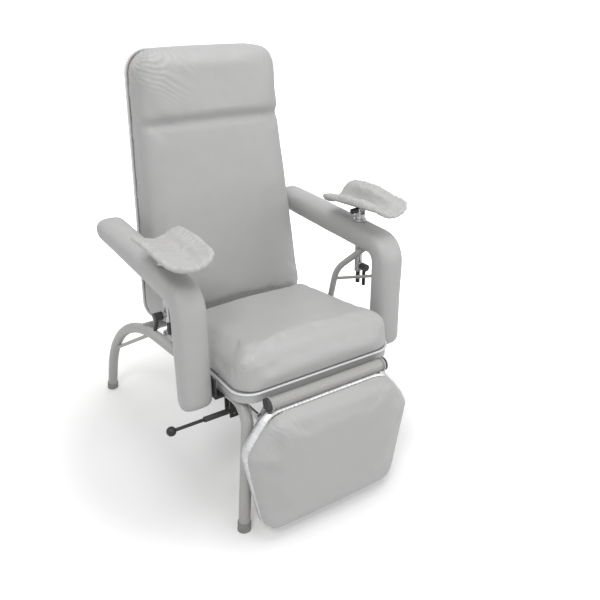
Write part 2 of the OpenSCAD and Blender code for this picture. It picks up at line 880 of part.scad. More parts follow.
module arm_bracket(side) {
  color(black_colour)
    on_side(side)
      difference() {
        union() {
          translate([bracket_rail_x, -arm_front - bracket_length / 2, rail_height - bracket_thick])
            cube([bracket_outer_x - bracket_rail_x, bracket_length, bracket_thick]);
          translate([bracket_outer_x - bracket_thick, -arm_front - bracket_length / 2,
              rail_height - bracket_thick])
            cube([bracket_thick, bracket_length, bracket_flange]);
        }
        hoop_body();
        translate([arm_x, 0, 0])
          bracket_bolts_body();
      }
}

module arm_bracket_left() { arm_bracket(-1); }
module arm_bracket_right() { arm_bracket(1); }

module arm_bolts() {
  color(steel_colour)
    for (side = [-1, 1])
      on_side(side) {
        along_x(bracket_outer_x - bracket_thick - bolt_head, bracket_outer_x - bracket_thick,
          -arm_front, bracket_bolt_z, bolt_head_radius);
        along_x(bracket_outer_x - bracket_thick - bolt_head, arm_x - core_half_width + bolt_depth,
          -arm_front, bracket_bolt_z, bolt_radius);
      }
}

// sleeve of a trough post, with its clamp boss turned about the post
ring_bottom = arm_top_at_post + ring_radius * tan(arm_rise);
sleeve_top = ring_bottom + ring_height;
left_clamp_turn = 0;
right_clamp_turn = -90;
left_handle_turn = 30;
right_handle_turn = 0;

// place at the trough post of one side
module at_post(side, height) {
  on_side(side)
    translate([arm_x, -post_y, height])
      children();
}

module post_sleeve(side, turned) {
  color(steel_colour)
    at_post(side, 0)
      difference() {
        union() {
          translate([0, 0, sleeve_bottom])
            cylinder(r = sleeve_radius, h = sleeve_top - sleeve_bottom);
          translate([0, 0, ring_bottom])
            cylinder(r = ring_radius, h = ring_height);
          rotate([0, 0, turned])
            along_x(0, boss_reach, 0, clamp_height, boss_radius);
        }
        translate([0, 0, sleeve_bottom - overrun])
          cylinder(r = post_radius + running_gap, h = sleeve_top - sleeve_bottom + 2 * overrun);
        rotate([0, 0, turned])
          along_x(0, boss_reach + overrun, 0, clamp_height, clamp_screw_radius + running_gap);
      }
}
clamp_screw_radius = boss_radius / 2;

module post_sleeve_left() { post_sleeve(-1, left_clamp_turn); }
module post_sleeve_right() { post_sleeve(1, right_clamp_turn); }

// clamp handle: screw, hub and a rod that hangs down when not turned
module clamp_handle(side, turned, handle_turned) {
  color(black_colour)
    at_post(side, clamp_height)
      rotate([handle_turned, 0, turned]) {
        along_x(post_radius + seat_gap, boss_reach + hub_length, 0, 0, clamp_screw_radius);
        along_x(boss_reach + seat_gap, boss_reach + hub_length, 0, 0, hub_radius);
        translate([boss_reach + hub_length / 2, 0, -handle_length])
          cylinder(r = handle_radius, h = handle_length);
      }
}

module clamp_handle_left() { clamp_handle(-1, left_clamp_turn, left_handle_turn); }
module clamp_handle_right() { clamp_handle(1, right_clamp_turn, right_handle_turn); }

yoke_bottom = sleeve_top + seat_gap;
post_depth_share = 0.8;
post_top = yoke_bottom + yoke_height * post_depth_share;

module trough_post(side) {
  color(black_colour)
    at_post(side, post_bottom)
      cylinder(r = post_radius, h = post_top - post_bottom);
}

module trough_post_left() { trough_post(-1); }
module trough_post_right() { trough_post(1); }

// yoke on the post: hub and two cheeks around the trough's lug
lug_half = yoke_radius - cheek_thick;
lug_share = 0.62;
cheek_radius = tilt_rise * lug_share;
tilt_z = yoke_height + tilt_rise;

module trough_yoke(side, turned) {
  color(steel_colour)
    at_post(side, yoke_bottom)
      rotate([0, 0, side * turned])
        difference() {
          union() {
            cylinder(r = yoke_radius, h = yoke_height);
            for (x = [-yoke_radius, lug_half])
              translate([x, 0, 0]) {
                along_x(0, cheek_thick, 0, tilt_z, cheek_radius);
                translate([0, -cheek_radius, yoke_height / 2])
                  cube([cheek_thick, 2 * cheek_radius, yoke_height / 2 + tilt_rise]);
              }
          }
          translate([0, 0, -overrun])
            cylinder(r = post_radius + running_gap, h = post_top - yoke_bottom + seat_gap + overrun);
          along_x(-2 * yoke_radius, 2 * yoke_radius, 0, tilt_z, tilt_pin_radius + running_gap);
        }
}

module trough_yoke_left() { trough_yoke(-1, left_trough_turn); }
module trough_yoke_right() { trough_yoke(1, right_trough_turn); }

module tilt_knob(side, turned) {
  color(black_colour)
    at_post(side, yoke_bottom)
      rotate([0, 0, side * turned]) {
        along_x(-yoke_radius - side_gap - tilt_knob_length, yoke_radius, 0, tilt_z, tilt_pin_radius);
        along_x(-yoke_radius - side_gap - tilt_knob_length, -yoke_radius - side_gap, 0, tilt_z,
          tilt_knob_radius);
      }
}

module tilt_knob_left() { tilt_knob(-1, left_trough_turn); }
module tilt_knob_right() { tilt_knob(1, right_trough_turn); }

// trough seen from above, drawn inwards by the inset
module trough_outline(inset) {
  x = trough_width / 2 - trough_corner;
  y = trough_length / 2 - trough_corner;
  round_outline([[-x, -y], [x, -y], [x, y], [-x, y]], trough_corner - inset);
}

shell_inner = trough_hollow + cover_thick;
shell_outer = shell_inner + shell_thick;
// height of the shell's underside above the tilt pin
shell_rise = cheek_radius + running_gap + side_gap;

// bent sheet between the radii r0 and r1 about the trough's long axis
module trough_sheet(r0, r1, inset) {
  intersection() {
    translate([0, trough_length, shell_outer])
      rotate([90, 0, 0])
        linear_extrude(height = 2 * trough_length)
          difference() {
            circle(r = r1);
            circle(r = r0);
          }
    linear_extrude(height = shell_outer)
      trough_outline(inset);
  }
}

// place of a trough on its yoke, pushed forward by the shift
module at_trough(side, turned, shift_by) {
  at_post(side, yoke_bottom + tilt_z + shell_rise)
    rotate([0, 0, side * turned])
      translate([0, -shift_by, 0])
        children();
}

module trough_shell(side, turned, shift_by) {
  color(tube_colour)
    at_trough(side, turned, shift_by) {
      difference() {
        union() {
          trough_sheet(shell_inner, shell_outer, 0);
          translate([0, shift_by, 0])
            difference() {
              union() {
                along_x(-lug_half + side_gap, lug_half - side_gap, 0, -shell_rise, cheek_radius);
                translate([-lug_half + side_gap, -cheek_radius, -shell_rise])
                  cube([2 * lug_half - 2 * side_gap, 2 * cheek_radius, shell_rise + shell_thick / 2]);
              }
            }
        }
        translate([0, shift_by, 0])
          along_x(-trough_width, trough_width, 0, -shell_rise, tilt_pin_radius + running_gap);
      }
    }
}

module trough_shell_left() { trough_shell(-1, left_trough_turn, left_trough_shift); }
module trough_shell_right() { trough_shell(1, right_trough_turn, right_trough_shift); }

module trough_cover(side, turned, shift_by) {
  color(cover_colour)
    at_trough(side, turned, shift_by)
      trough_sheet(trough_hollow, shell_inner, base_inset);
}

module trough_cover_left() { trough_cover(-1, left_trough_turn, left_trough_shift); }
module trough_cover_right() { trough_cover(1, right_trough_turn, right_trough_shift); }

// boss on the rail, shaft between the bosses
module pivot_boss(side) {
  color(tube_colour)
    on_side(side)
      difference() {
        along_x(shaft_boss_x, rail_rear_x - tube_radius, back_pivot_y, back_pivot_z, shaft_boss_radius);
        hoop_body();
        along_x(shaft_boss_x - overrun, shaft_half + seat_gap, back_pivot_y, back_pivot_z, shaft_radius);
      }
}
shaft_half = shaft_boss_x + shaft_boss_radius;

module pivot_bosses() {
  pivot_boss(-1);
  pivot_boss(1);
}

module back_pivot_shaft() {
  color(steel_colour)
    along_x(-shaft_half, shaft_half, back_pivot_y, back_pivot_z, shaft_radius);
}

// place of the back: x across, y to the rear, z along the back
module at_back() {
  translate([0, back_y, back_z])
    rotate([-back_lean, 0, 0])
      children();
}

// point of the side view, seen from the back's own place
function in_back(y, z) =
  [(y - back_y) * cos(back_lean) - (z - back_z) * sin(back_lean),
   (y - back_y) * sin(back_lean) + (z - back_z) * cos(back_lean)];

// slab of an outline standing between the distances n0 and n1 to the front
module standing(n0, n1) {
  translate([0, -n0, 0])
    rotate([90, 0, 0])
      linear_extrude(height = n1 - n0)
        children();
}

back_flare = atan((back_bottom_width - back_top_width) / 2 / back_length);
function back_half(s) = back_bottom_width / 2 - s * tan(back_flare);
function back_corner_x(s) = back_half(s) - back_corner / cos(back_flare);

module back_outline(inset) {
  low = back_corner;
  high = back_length - back_corner;
  round_outline([[-back_corner_x(low), low], [back_corner_x(low), low],
    [back_corner_x(high), high], [-back_corner_x(high), high]], back_corner - inset);
}

back_board_rear = back_board_thick - bead_height;

module back_board() {
  color(wood_colour)
    at_back()
      difference() {
        standing(-back_board_rear, bead_height)
          back_outline(bead_width);
        board_bolts_body(back_bolt_z, back_board_rear);
      }
}

module back_piping() {
  color(bead_colour)
    at_back()
      standing(0, bead_height)
        difference() {
          back_outline(-bead_reach);
          back_outline(bead_width);
        }
}

// bolts from the stiffeners into a board
stiffener_bolt_share = 0.7;
module board_bolts_body(heights, board_rear) {
  for (x = [-plate_x * stiffener_bolt_share, plate_x * stiffener_bolt_share], z = heights)
    translate([x, board_rear + stiffener_thick + overrun, z])
      rotate([90, 0, 0])
        cylinder(r = bolt_radius, h = bolt_depth * board_bolt_share + stiffener_thick + overrun);
}
board_bolt_share = 0.6;

module board_bolts(heights, board_rear) {
  for (x = [-plate_x * stiffener_bolt_share, plate_x * stiffener_bolt_share], z = heights)
    translate([x, board_rear + stiffener_thick, z])
      rotate([90, 0, 0]) {
        cylinder(r = bolt_radius, h = bolt_depth * board_bolt_share + stiffener_thick);
        translate([0, 0, -bolt_head])
          cylinder(r = bolt_head_radius, h = bolt_head);
      }
}

// shares of the strap length at which stiffeners cross the board
stiffener_shares = [0.28, 0.88];
back_bolt_z = [for (t = stiffener_shares) t * back_strap_length];

// lower and upper rounding of the back cushion, and its crease
crease_steps = [-2.2, -1.2, -0.6, 0, 0.6, 1.2, 2.2];
back_stations = concat(
  [for (t = end_steps) t * back_corner],
  [for (t = [0.22, 0.37, 0.54, 0.72, 0.88]) t * crease_at],
  [for (t = crease_steps) crease_at + t * crease_width],
  [for (t = [0.45]) crease_at + t * (back_length - crease_at)],
  [for (i = [len(end_steps) - 1 : -1 : 0]) back_length - end_steps[i] * back_corner]);
function crease_fall(s) = crease_depth * exp(-pow((s - crease_at) / crease_width, 2));
function back_height_at(s) =
  back_thickness - bead_height - crease_fall(s) - (s < crease_at ? pillow_step * s / crease_at : 0);
function back_row(s) =
  let(d = min(s, back_length - s), k = round_share(d, back_corner),
      h = back_height_at(s) - back_edge * (1 - round_share(d, back_edge)),
      w = d < back_corner ? back_corner_x(s) + back_corner * k : back_half(s))
  section(s, w, h, back_edge * max(end_edge_share, k), back_crown * k);

module back_cushion() {
  color(vinyl_colour)
    at_back()
      translate([0, -bead_height, 0])
        rotate([90, 0, 0])
          skin([for (s = back_stations) back_row(s)]);
}

// side view of a flat plate: eye at the pivot, strap on the board, lever to the pin
module lever_plate(pivot, pin, eye_radius, strap_from, strap_to, board_rear) {
  translate(pivot)
    circle(r = eye_radius);
  translate(pin)
    circle(r = rod_eye);
  translate([board_rear, strap_from])
    square([strap_width, strap_to - strap_from]);
  polygon([pivot - [0, eye_radius], pin - [rod_eye, 0], pin + [rod_eye, 0] * pin_side_share,
    pivot + [eye_radius, 0] * pin_side_share]);
}
pin_side_share = 0.9;

back_pivot = in_back(back_pivot_y, back_pivot_z);
back_pin = in_back(back_pivot_y + pin_back, back_pivot_z - pin_down);

module back_frame() {
  color(tube_colour)
    difference() {
      union() {
        at_back() {
          for (side = [-1, 1])
            on_side(side)
              plate_across_x(plate_x, plate_x + plate_thick)
                lever_plate(back_pivot, back_pin, bearing_radius + ear_wall, back_pivot[1],
                  back_strap_length, back_board_rear);
          for (z = back_bolt_z)
            translate([-plate_x, back_board_rear, z - stiffener_half])
              cube([2 * plate_x, stiffener_thick, 2 * stiffener_half]);
        }
        for (side = [-1, 1])
          on_side(side)
            along_x(plate_x - bearing_radius, shaft_boss_x - seat_gap, back_pivot_y, back_pivot_z,
              bearing_radius);
      }
      along_x(-shaft_half, shaft_half, back_pivot_y, back_pivot_z, shaft_radius + running_gap);
      along_x(-shaft_half, shaft_half, back_pivot_y + pin_back, back_pivot_z - pin_down, pin_radius);
      at_back()
        board_bolts_body(back_bolt_z, back_board_rear);
    }
}

module back_bolts() {
  color(steel_colour)
    at_back()
      board_bolts(back_bolt_z, back_board_rear);
}

// roll tube under the front of the seat, carried by two supports
module front_roll() {
  color(tube_colour)
    difference() {
      along_x(-roll_half, roll_half, -roll_y, roll_z, tube_radius);
      along_x(-roll_half - overrun, roll_half + overrun, -roll_y, roll_z, tube_radius - tube_wall);
    }
}

module roll_caps() {
  color(black_colour)
    for (side = [-1, 1])
      on_side(side) {
        along_x(roll_half, roll_half + roll_cap, -roll_y, roll_z, tube_radius + bead_reach);
        along_x(roll_half - 2 * roll_cap, roll_half + roll_cap, -roll_y, roll_z, tube_radius - tube_wall);
      }
}

// half distance between the roll supports
roll_support_share = 0.8;
support_plate_x = plate_x * roll_support_share;
roll_support_drop = 28;
module roll_support(side) {
  color(tube_colour)
    on_side(side)
      difference() {
        plate_across_x(support_plate_x, support_plate_x + plate_thick)
          polygon([
            [-front_bar_y - bar_width / 2, base_bottom - roll_support_drop],
            [-front_bar_y - bar_width / 2, base_bottom - seat_gap],
            [-roll_y + tube_radius * pin_side_share, base_bottom - seat_gap],
            [-roll_y, roll_z],
            [-roll_y + tube_radius * pin_side_share, roll_z - tube_radius * pin_side_share]]);
        along_x(-roll_half, roll_half, -roll_y, roll_z, tube_radius);
      }
}

module roll_supports() {
  roll_support(-1);
  roll_support(1);
}

// place of the leg rest: x across, y to the rear, z up along it
module at_leg() {
  translate([0, -leg_y, leg_z])
    rotate([leg_lean, 0, 0])
      children();
}

// point of the side view, seen from the leg rest's own place
function in_leg(y, z) =
  [(y + leg_y) * cos(leg_lean) + (z - leg_z) * sin(leg_lean),
   -(y + leg_y) * sin(leg_lean) + (z - leg_z) * cos(leg_lean)];

leg_low_at = leg_length - leg_corner;
leg_corners = [[leg_top_half, leg_corner], [leg_mid_half, leg_mid_at], [leg_low_half, leg_low_at]];

module leg_outline(inset) {
  right = [for (i = [2, 1, 0]) [leg_corners[i][0], -leg_corners[i][1]]];
  left = [for (p = leg_corners) [-p[0], -p[1]]];
  round_outline(concat(right, left), leg_corner - inset);
}

leg_board_rear = leg_board_thick - bead_height;

module leg_board() {
  color(wood_colour)
    at_leg()
      difference() {
        standing(-leg_board_rear, bead_height)
          leg_outline(bead_width);
        board_bolts_body(leg_bolt_z, leg_board_rear);
      }
}

module leg_trim() {
  color(bead_colour)
    at_leg()
      standing(0, bead_height)
        difference() {
          leg_outline(-bead_reach);
          leg_outline(bead_width);
        }
}

// half width of the leg rest at the distance s below its upper edge
function corner_half(c, s) =
  abs(s - c[1]) < leg_corner ? c[0] + sqrt(pow(leg_corner, 2) - pow(s - c[1], 2)) : 0;
function flank_half(a, b, s) =
  let(d = unit(b - a), n = [d[1], -d[0]], p = a + leg_corner * n, q = b + leg_corner * n)
  s < p[1] || s > q[1] ? 0 : p[0] + (q[0] - p[0]) * (s - p[1]) / (q[1] - p[1]);
function leg_half(s) = max(
  corner_half(leg_corners[0], s), corner_half(leg_corners[1], s), corner_half(leg_corners[2], s),
  flank_half(leg_corners[0], leg_corners[1], s), flank_half(leg_corners[1], leg_corners[2], s));

leg_stations = concat(
  [for (t = end_steps) t * leg_corner],
  [for (t = [0.35, 0.6, 0.8, 1]) leg_corner + t * (leg_mid_at - leg_corner)],
  [for (t = [0.16, 0.4, 0.7]) leg_mid_at + t * (leg_low_at - leg_mid_at)],
  [for (i = [len(end_steps) - 1 : -1 : 0]) leg_length - end_steps[i] * leg_corner]);
function leg_row(s) =
  let(d = min(s, leg_length - s), k = round_share(d, leg_corner), sliver = overrun * small_share)
  section(-s, leg_half(max(sliver, min(leg_length - sliver, s))),
    leg_thickness - bead_height - leg_edge * (1 - round_share(d, leg_edge)),
    leg_edge * max(end_edge_share, k), leg_crown * k);
small_share = 0.001;

module leg_cushion() {
  color(vinyl_colour)
    at_leg()
      translate([0, -bead_height, 0])
        rotate([90, 0, 0])
          skin([for (i = [len(leg_stations) - 1 : -1 : 0]) leg_row(leg_stations[i])]);
}

leg_pivot = in_leg(-roll_y, roll_z);
leg_pin = in_leg(-roll_y + pin_back, roll_z - pin_down);
leg_strap_share = 0.85;
leg_bolt_shares = [0.25, 0.7];
leg_bolt_z = [for (t = leg_bolt_shares) -t * leg_length];

module leg_frame() {
  color(steel_colour)
    difference() {
      at_leg() {
        for (side = [-1, 1])
          on_side(side)
            plate_across_x(plate_x, plate_x + plate_thick)
              lever_plate(leg_pivot, leg_pin, tube_radius + ear_wall,
                -leg_length * leg_strap_share, leg_pivot[1], leg_board_rear);
        for (z = leg_bolt_z)
          translate([-plate_x, leg_board_rear, z - stiffener_half])
            cube([2 * plate_x, stiffener_thick, 2 * stiffener_half]);
      }
      along_x(-roll_half - overrun, roll_half + overrun, -roll_y, roll_z, tube_radius + running_gap);
      along_x(-shaft_half, shaft_half, -roll_y + pin_back, roll_z - pin_down, pin_radius);
      at_leg()
        board_bolts_body(leg_bolt_z, leg_board_rear);
    }
}

module leg_bolts() {
  color(steel_colour)
    at_leg()
      board_bolts(leg_bolt_z, leg_board_rear);
}

// push rod between the back's levers and the leg rest's levers
rod_x = plate_x + plate_thick + side_gap;
rod_front = [-roll_y + pin_back, roll_z - pin_down];
rod_rear = [back_pivot_y + pin_back, back_pivot_z - pin_down];
rod_length = norm(rod_rear - rod_front);
rod_angle = atan2(rod_rear[1] - rod_front[1], rod_rear[0] - rod_front[0]);
// gap of the open rear eye on the radius
open_gap = 0.3;

module push_rod(side) {
  color(steel_colour)
    on_side(side)
      plate_across_x(rod_x, rod_x + rod_thick)
        translate(rod_front)
          rotate([0, 0, rod_angle])
            difference() {
              union() {
                circle(r = rod_eye);
                translate([rod_length, 0])
                  circle(r = rod_eye);
                translate([0, -rod_half])
                  square([rod_length, 2 * rod_half]);
              }
              circle(r = pin_radius + running_gap);
              translate([rod_length, 0])
                circle(r = pin_radius + open_gap);
            }
}

module push_rod_left() { push_rod(-1); }
module push_rod_right() { push_rod(1); }

// riveted pins through a pair of lever plates and rod eyes
module link_pins(at) {
  outer = rod_x + rod_thick + side_gap;
  color(steel_colour)
    for (side = [-1, 1])
      on_side(side) {
        along_x(plate_x - pin_head, outer + pin_head, at[0], at[1], pin_radius);
        along_x(plate_x - pin_head, plate_x, at[0], at[1], pin_head_radius);
        along_x(outer, outer + pin_head, at[0], at[1], pin_head_radius);
      }
}

module link_pins_front() { link_pins(rod_front); }
module link_pins_rear() { link_pins(rod_rear); }

// recline lever: bracket under the left rail, hub, rod, sleeve and ball
lever_bracket_top = rail_height;
lever_bracket_bottom = lever_z - lever_cheek_half;

// pin or hub along Y from y0 to y1 at the lever's pivot
module at_lever_pivot(y0, y1, r) {
  translate([-lever_pivot_x, -lever_y + y1, lever_z])
    rotate([90, 0, 0])
      cylinder(r = r, h = y1 - y0);
}

lever_hub_half = lever_hub_length / 2;
lever_cheek_inner = lever_hub_half + seat_gap;

module lever_bracket() {
  color(black_colour)
    difference() {
      for (y = [-lever_cheek_inner - plate_thick, lever_cheek_inner])
        translate([-lever_pivot_x - lever_cheek_half, -lever_y + y, lever_bracket_bottom])
          cube([2 * lever_cheek_half, plate_thick, lever_bracket_top - lever_bracket_bottom]);
      on_side(-1)
        hoop_body();
      bar_block(-front_bar_y);
      at_lever_pivot(-2 * lever_hub_length, 2 * lever_hub_length, lever_pin_radius);
    }
}

module lever_pin() {
  color(steel_colour)
    at_lever_pivot(-lever_cheek_inner - plate_thick, lever_cheek_inner + plate_thick, lever_pin_radius);
}

lever_sleeve_start = -lever_pivot_x - lever_hub_radius - side_gap;
lever_sleeve_end = lever_sleeve_start - lever_sleeve_length;
lever_ball_x = -lever_pivot_x - lever_length;

module lever_arm() {
  color(black_colour)
    difference() {
      union() {
        at_lever_pivot(-lever_hub_half, lever_hub_half, lever_hub_radius);
        along_x(lever_ball_x, -lever_pivot_x, -lever_y, lever_z, lever_radius);
      }
      at_lever_pivot(-lever_hub_length, lever_hub_length, lever_pin_radius + running_gap);
    }
}

module lever_sleeve() {
  color(black_colour)
    difference() {
      along_x(lever_sleeve_end, lever_sleeve_start, -lever_y, lever_z, lever_sleeve_radius);
      along_x(lever_sleeve_end - overrun, lever_sleeve_start + overrun, -lever_y, lever_z, lever_radius);
    }
}

module lever_ball() {
  color(black_colour)
    difference() {
      translate([lever_ball_x, -lever_y, lever_z])
        rotate([0, 90, 0])
          sphere(r = ball_radius);
      along_x(lever_ball_x, -lever_pivot_x, -lever_y, lever_z, lever_radius);
    }
}

side_hoop_left();
side_hoop_right();
foot_caps();
hoop_brace_left();
hoop_brace_right();
cross_bar_front();
cross_bar_rear();
seat_bolts();
seat_base();
seat_piping();
seat_cushion();
arm_core_left();
arm_core_right();
arm_pad_left();
arm_pad_right();
arm_support_left();
arm_support_right();
arm_stay_left();
arm_stay_right();
arm_bracket_left();
arm_bracket_right();
arm_bolts();
post_sleeve_left();
post_sleeve_right();
clamp_handle_left();
clamp_handle_right();
trough_post_left();
trough_post_right();
trough_yoke_left();
trough_yoke_right();
tilt_knob_left();
tilt_knob_right();
trough_shell_left();
trough_shell_right();
trough_cover_left();
trough_cover_right();
pivot_bosses();
back_pivot_shaft();
back_board();
back_piping();
back_cushion();
back_frame();
back_bolts();
front_roll();
roll_caps();
roll_supports();
leg_board();
leg_trim();
leg_cushion();
leg_frame();
leg_bolts();
push_rod_left();
push_rod_right();
link_pins_front();
link_pins_rear();
lever_bracket();
lever_pin();
lever_arm();
lever_sleeve();
lever_ball();
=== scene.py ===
import json
import math

import bmesh
import bpy
import numpy as np
from mathutils import Matrix, Vector, noise


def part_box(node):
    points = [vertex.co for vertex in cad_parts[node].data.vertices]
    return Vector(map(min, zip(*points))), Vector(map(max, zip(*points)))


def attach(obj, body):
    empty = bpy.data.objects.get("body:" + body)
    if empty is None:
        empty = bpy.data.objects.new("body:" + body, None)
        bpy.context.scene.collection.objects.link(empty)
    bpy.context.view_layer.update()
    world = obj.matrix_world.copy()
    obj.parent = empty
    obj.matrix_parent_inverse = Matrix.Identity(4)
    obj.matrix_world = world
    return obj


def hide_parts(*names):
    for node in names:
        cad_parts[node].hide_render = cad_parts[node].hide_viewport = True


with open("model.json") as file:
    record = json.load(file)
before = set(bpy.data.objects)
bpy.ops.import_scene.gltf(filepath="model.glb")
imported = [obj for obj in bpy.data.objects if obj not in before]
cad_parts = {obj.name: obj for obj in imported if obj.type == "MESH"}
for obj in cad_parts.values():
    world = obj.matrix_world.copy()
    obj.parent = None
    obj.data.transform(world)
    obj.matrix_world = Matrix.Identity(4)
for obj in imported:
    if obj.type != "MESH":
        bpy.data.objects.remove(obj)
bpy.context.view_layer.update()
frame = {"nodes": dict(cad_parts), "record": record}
NODES = frame["nodes"]
SCENE = bpy.context.scene

# camera of the photograph, in metres
CAMERA_AT = Vector((-0.8724, -1.6293, 1.3223))
CAMERA_FORWARD = Vector((0.5015, 0.7549, -0.4226))
CAMERA_RIGHT = Vector((0.8329, -0.5534, 0.0))
CAMERA_UP = Vector((0.2339, 0.3520, 0.9063))
CAMERA_LENS = 40.35
CAMERA_SENSOR = 36.0
CAMERA_CLIP = 200.0

# colours, linear
GREY_VINYL = (0.435, 0.437, 0.432)
PIPING_WHITE = (0.70, 0.71, 0.72)
TUBE_PAINT = (0.41, 0.415, 0.40)
COVER_WHITE = (0.47, 0.47, 0.46)
BLACK = (0.012, 0.012, 0.013)
BLACK_STEEL = (0.016, 0.016, 0.018)
STEEL = (0.58, 0.58, 0.59)
TRIM_STEEL = (0.74, 0.75, 0.76)
RUBBER_GREY = (0.26, 0.26, 0.25)
WOOD = (0.40, 0.28, 0.17)
FLOOR_COLOUR = (0.86, 0.86, 0.86)
WHITE = (1.0, 1.0, 1.0)

# light of the room, and the floor's glow near the chair and the distances over which it grows
WORLD_LIGHT = 0.58
FLOOR_GLOW, FLOOR_NEAR, FLOOR_FAR = 0.15, 0.5, 1.5
FLOOR_HALF, FLOOR_LEVEL = 60.0, -0.0008

# lamps: name, place, target, size and power
LAMPS = (
    ("key", (-2.0, -2.3, 3.6), (0.0, 0.0, 0.6), 1.0, 43.0),
    ("top", (0.2, -0.7, 4.3), (0.0, 0.0, 0.4), 2.4, 56.0),
    ("fill", (2.4, -2.9, 1.5), (0.0, 0.0, 0.6), 2.6, 23.0),
)

# arm pad, as in the source
ARM_X, ARM_FRONT, ARM_REAR = 0.3043, 0.2995, 0.2328
ARM_BOTTOM, ARM_HEIGHT, ARM_REAR_HEIGHT = 0.360, 0.666, 0.691
ARM_HALF_WIDTH, ARM_HALF_THICK, ARM_BEND, ARM_END = 0.0443, 0.0358, 0.046, 0.030
ARM_SQUARENESS = 0.72

# arm troughs, as in the source
POST_Y = 0.172
TROUGH_WIDTH, TROUGH_LENGTH, TROUGH_CORNER = 0.118, 0.227, 0.028
TROUGH_HOLLOW, SHELL_THICK, COVER_THICK = 0.075, 0.003, 0.010
TROUGH_TURN = {"left": 1.3, "right": 9.0}
TROUGH_SHIFT = {"left": 0.060, "right": 0.0135}

# trough covers: spokes and rings of the sheet, and the rows of its hem as depth and reach
COVER_HOLLOW = TROUGH_HOLLOW + COVER_THICK
COVER_SPOKES, COVER_RINGS = 184, 34
COVER_MIDDLE_PUFF, COVER_RIM_LOSS = 0.72, 0.30
COVER_SPOT = {"left": Vector((3.1, 7.7, 0.0)), "right": Vector((11.3, 2.9, 0.0))}
HEM_ROWS = ((0.15, 0.0040), (-0.3, 0.0066), (-0.8, 0.0066), (-1.25, 0.0040))
HEM_DROP, HEM_RUFFLES = 0.009, 46.0
HEM_HANG = {"left": 0.0, "right": 1.1}
UNDER_ROWS = ((0.97, -0.0092), (0.93, -0.0076), (0.88, -0.0056), (0.86, -0.0036), (0.88, -0.0034))
# heights of a cover's side lobes and middle fold, and of its far and near wing
LOBE_AND_FOLD = {"left": (0.0045, 0.0035), "right": (0.0110, -0.0030)}
WINGS = {"left": (0.004, 0.004), "right": (0.021, 0.008)}

# stuffing: faces of the remeshed forms, frames of the cloth run, and its forces
VOXEL, ARM_VOXEL = 0.006, 0.005
LAST_FRAME = 20
STUFFING_PRESSURE, STUFFING_STIFFNESS, STUFFING_BENDING = 4.0, 18.0, 6.0
WAVES = 0.0012

# folds: spacing, reach and depth
CORNER_FOLD = (0.011, 0.085, 0.0016)
SEAT_FOLD = (0.010, 0.075, 0.0014)
PILLOW_FOLD = (0.010, 0.115, 0.0030)
ELBOW_FOLD = (0.012, 0.06, 0.0018)

# piping: distance of its points and the section's flange, as shares of the bead's radius
BEAD_STEP = 0.004
BEAD_ARC = [math.radians(d) for d in range(-120, 121, 20)]
BEAD_FLANGE = [(-2.2, 0.55), (-2.2, -0.55)]


# helpers
def link(obj):
    SCENE.collection.objects.link(obj)
    return obj


def mesh_object(name, verts, faces, smooth=True):
    mesh = bpy.data.meshes.new(name)
    mesh.from_pydata([tuple(v) for v in verts], [], faces)
    bm = bmesh.new()
    bm.from_mesh(mesh)
    bmesh.ops.recalc_face_normals(bm, faces=bm.faces)
    bm.to_mesh(mesh)
    bm.free()
    for poly in mesh.polygons:
        poly.use_smooth = smooth
    mesh.update()
    return link(bpy.data.objects.new(name, mesh))


def evaluated_mesh(obj):
    depsgraph = bpy.context.evaluated_depsgraph_get()
    return bpy.data.meshes.new_from_object(obj.evaluated_get(depsgraph))


def set_mesh(obj, mesh):
    old = obj.data
    obj.modifiers.clear()
    obj.data = mesh
    for poly in mesh.polygons:
        poly.use_smooth = True
    bpy.data.meshes.remove(old)


def coordinates(mesh):
    flat = np.empty(len(mesh.vertices) * 3)
    mesh.vertices.foreach_get("co", flat)
    return flat.reshape(-1, 3)


def normals(mesh):
    flat = np.empty(len(mesh.vertices) * 3)
    mesh.vertices.foreach_get("normal", flat)
    return flat.reshape(-1, 3)


def put_coordinates(mesh, points):
    mesh.vertices.foreach_set("co", points.ravel())
    mesh.update()


def step(low, high, value):
    t = np.clip((value - low) / (high - low), 0.0, 1.0)
    return t * t * (3.0 - 2.0 * t)


def copy_of(node, name):
    obj = link(bpy.data.objects.new(name, NODES[node].data.copy()))
    obj.matrix_world = Matrix.Identity(4)
    obj.data.materials.clear()
    return obj


def dress(obj, material, slot_name, body, *nodes):
    obj.data.materials.clear()
    obj.data.materials.append(material)
    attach(obj, body)
    if nodes:
        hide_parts(*nodes)
    return obj


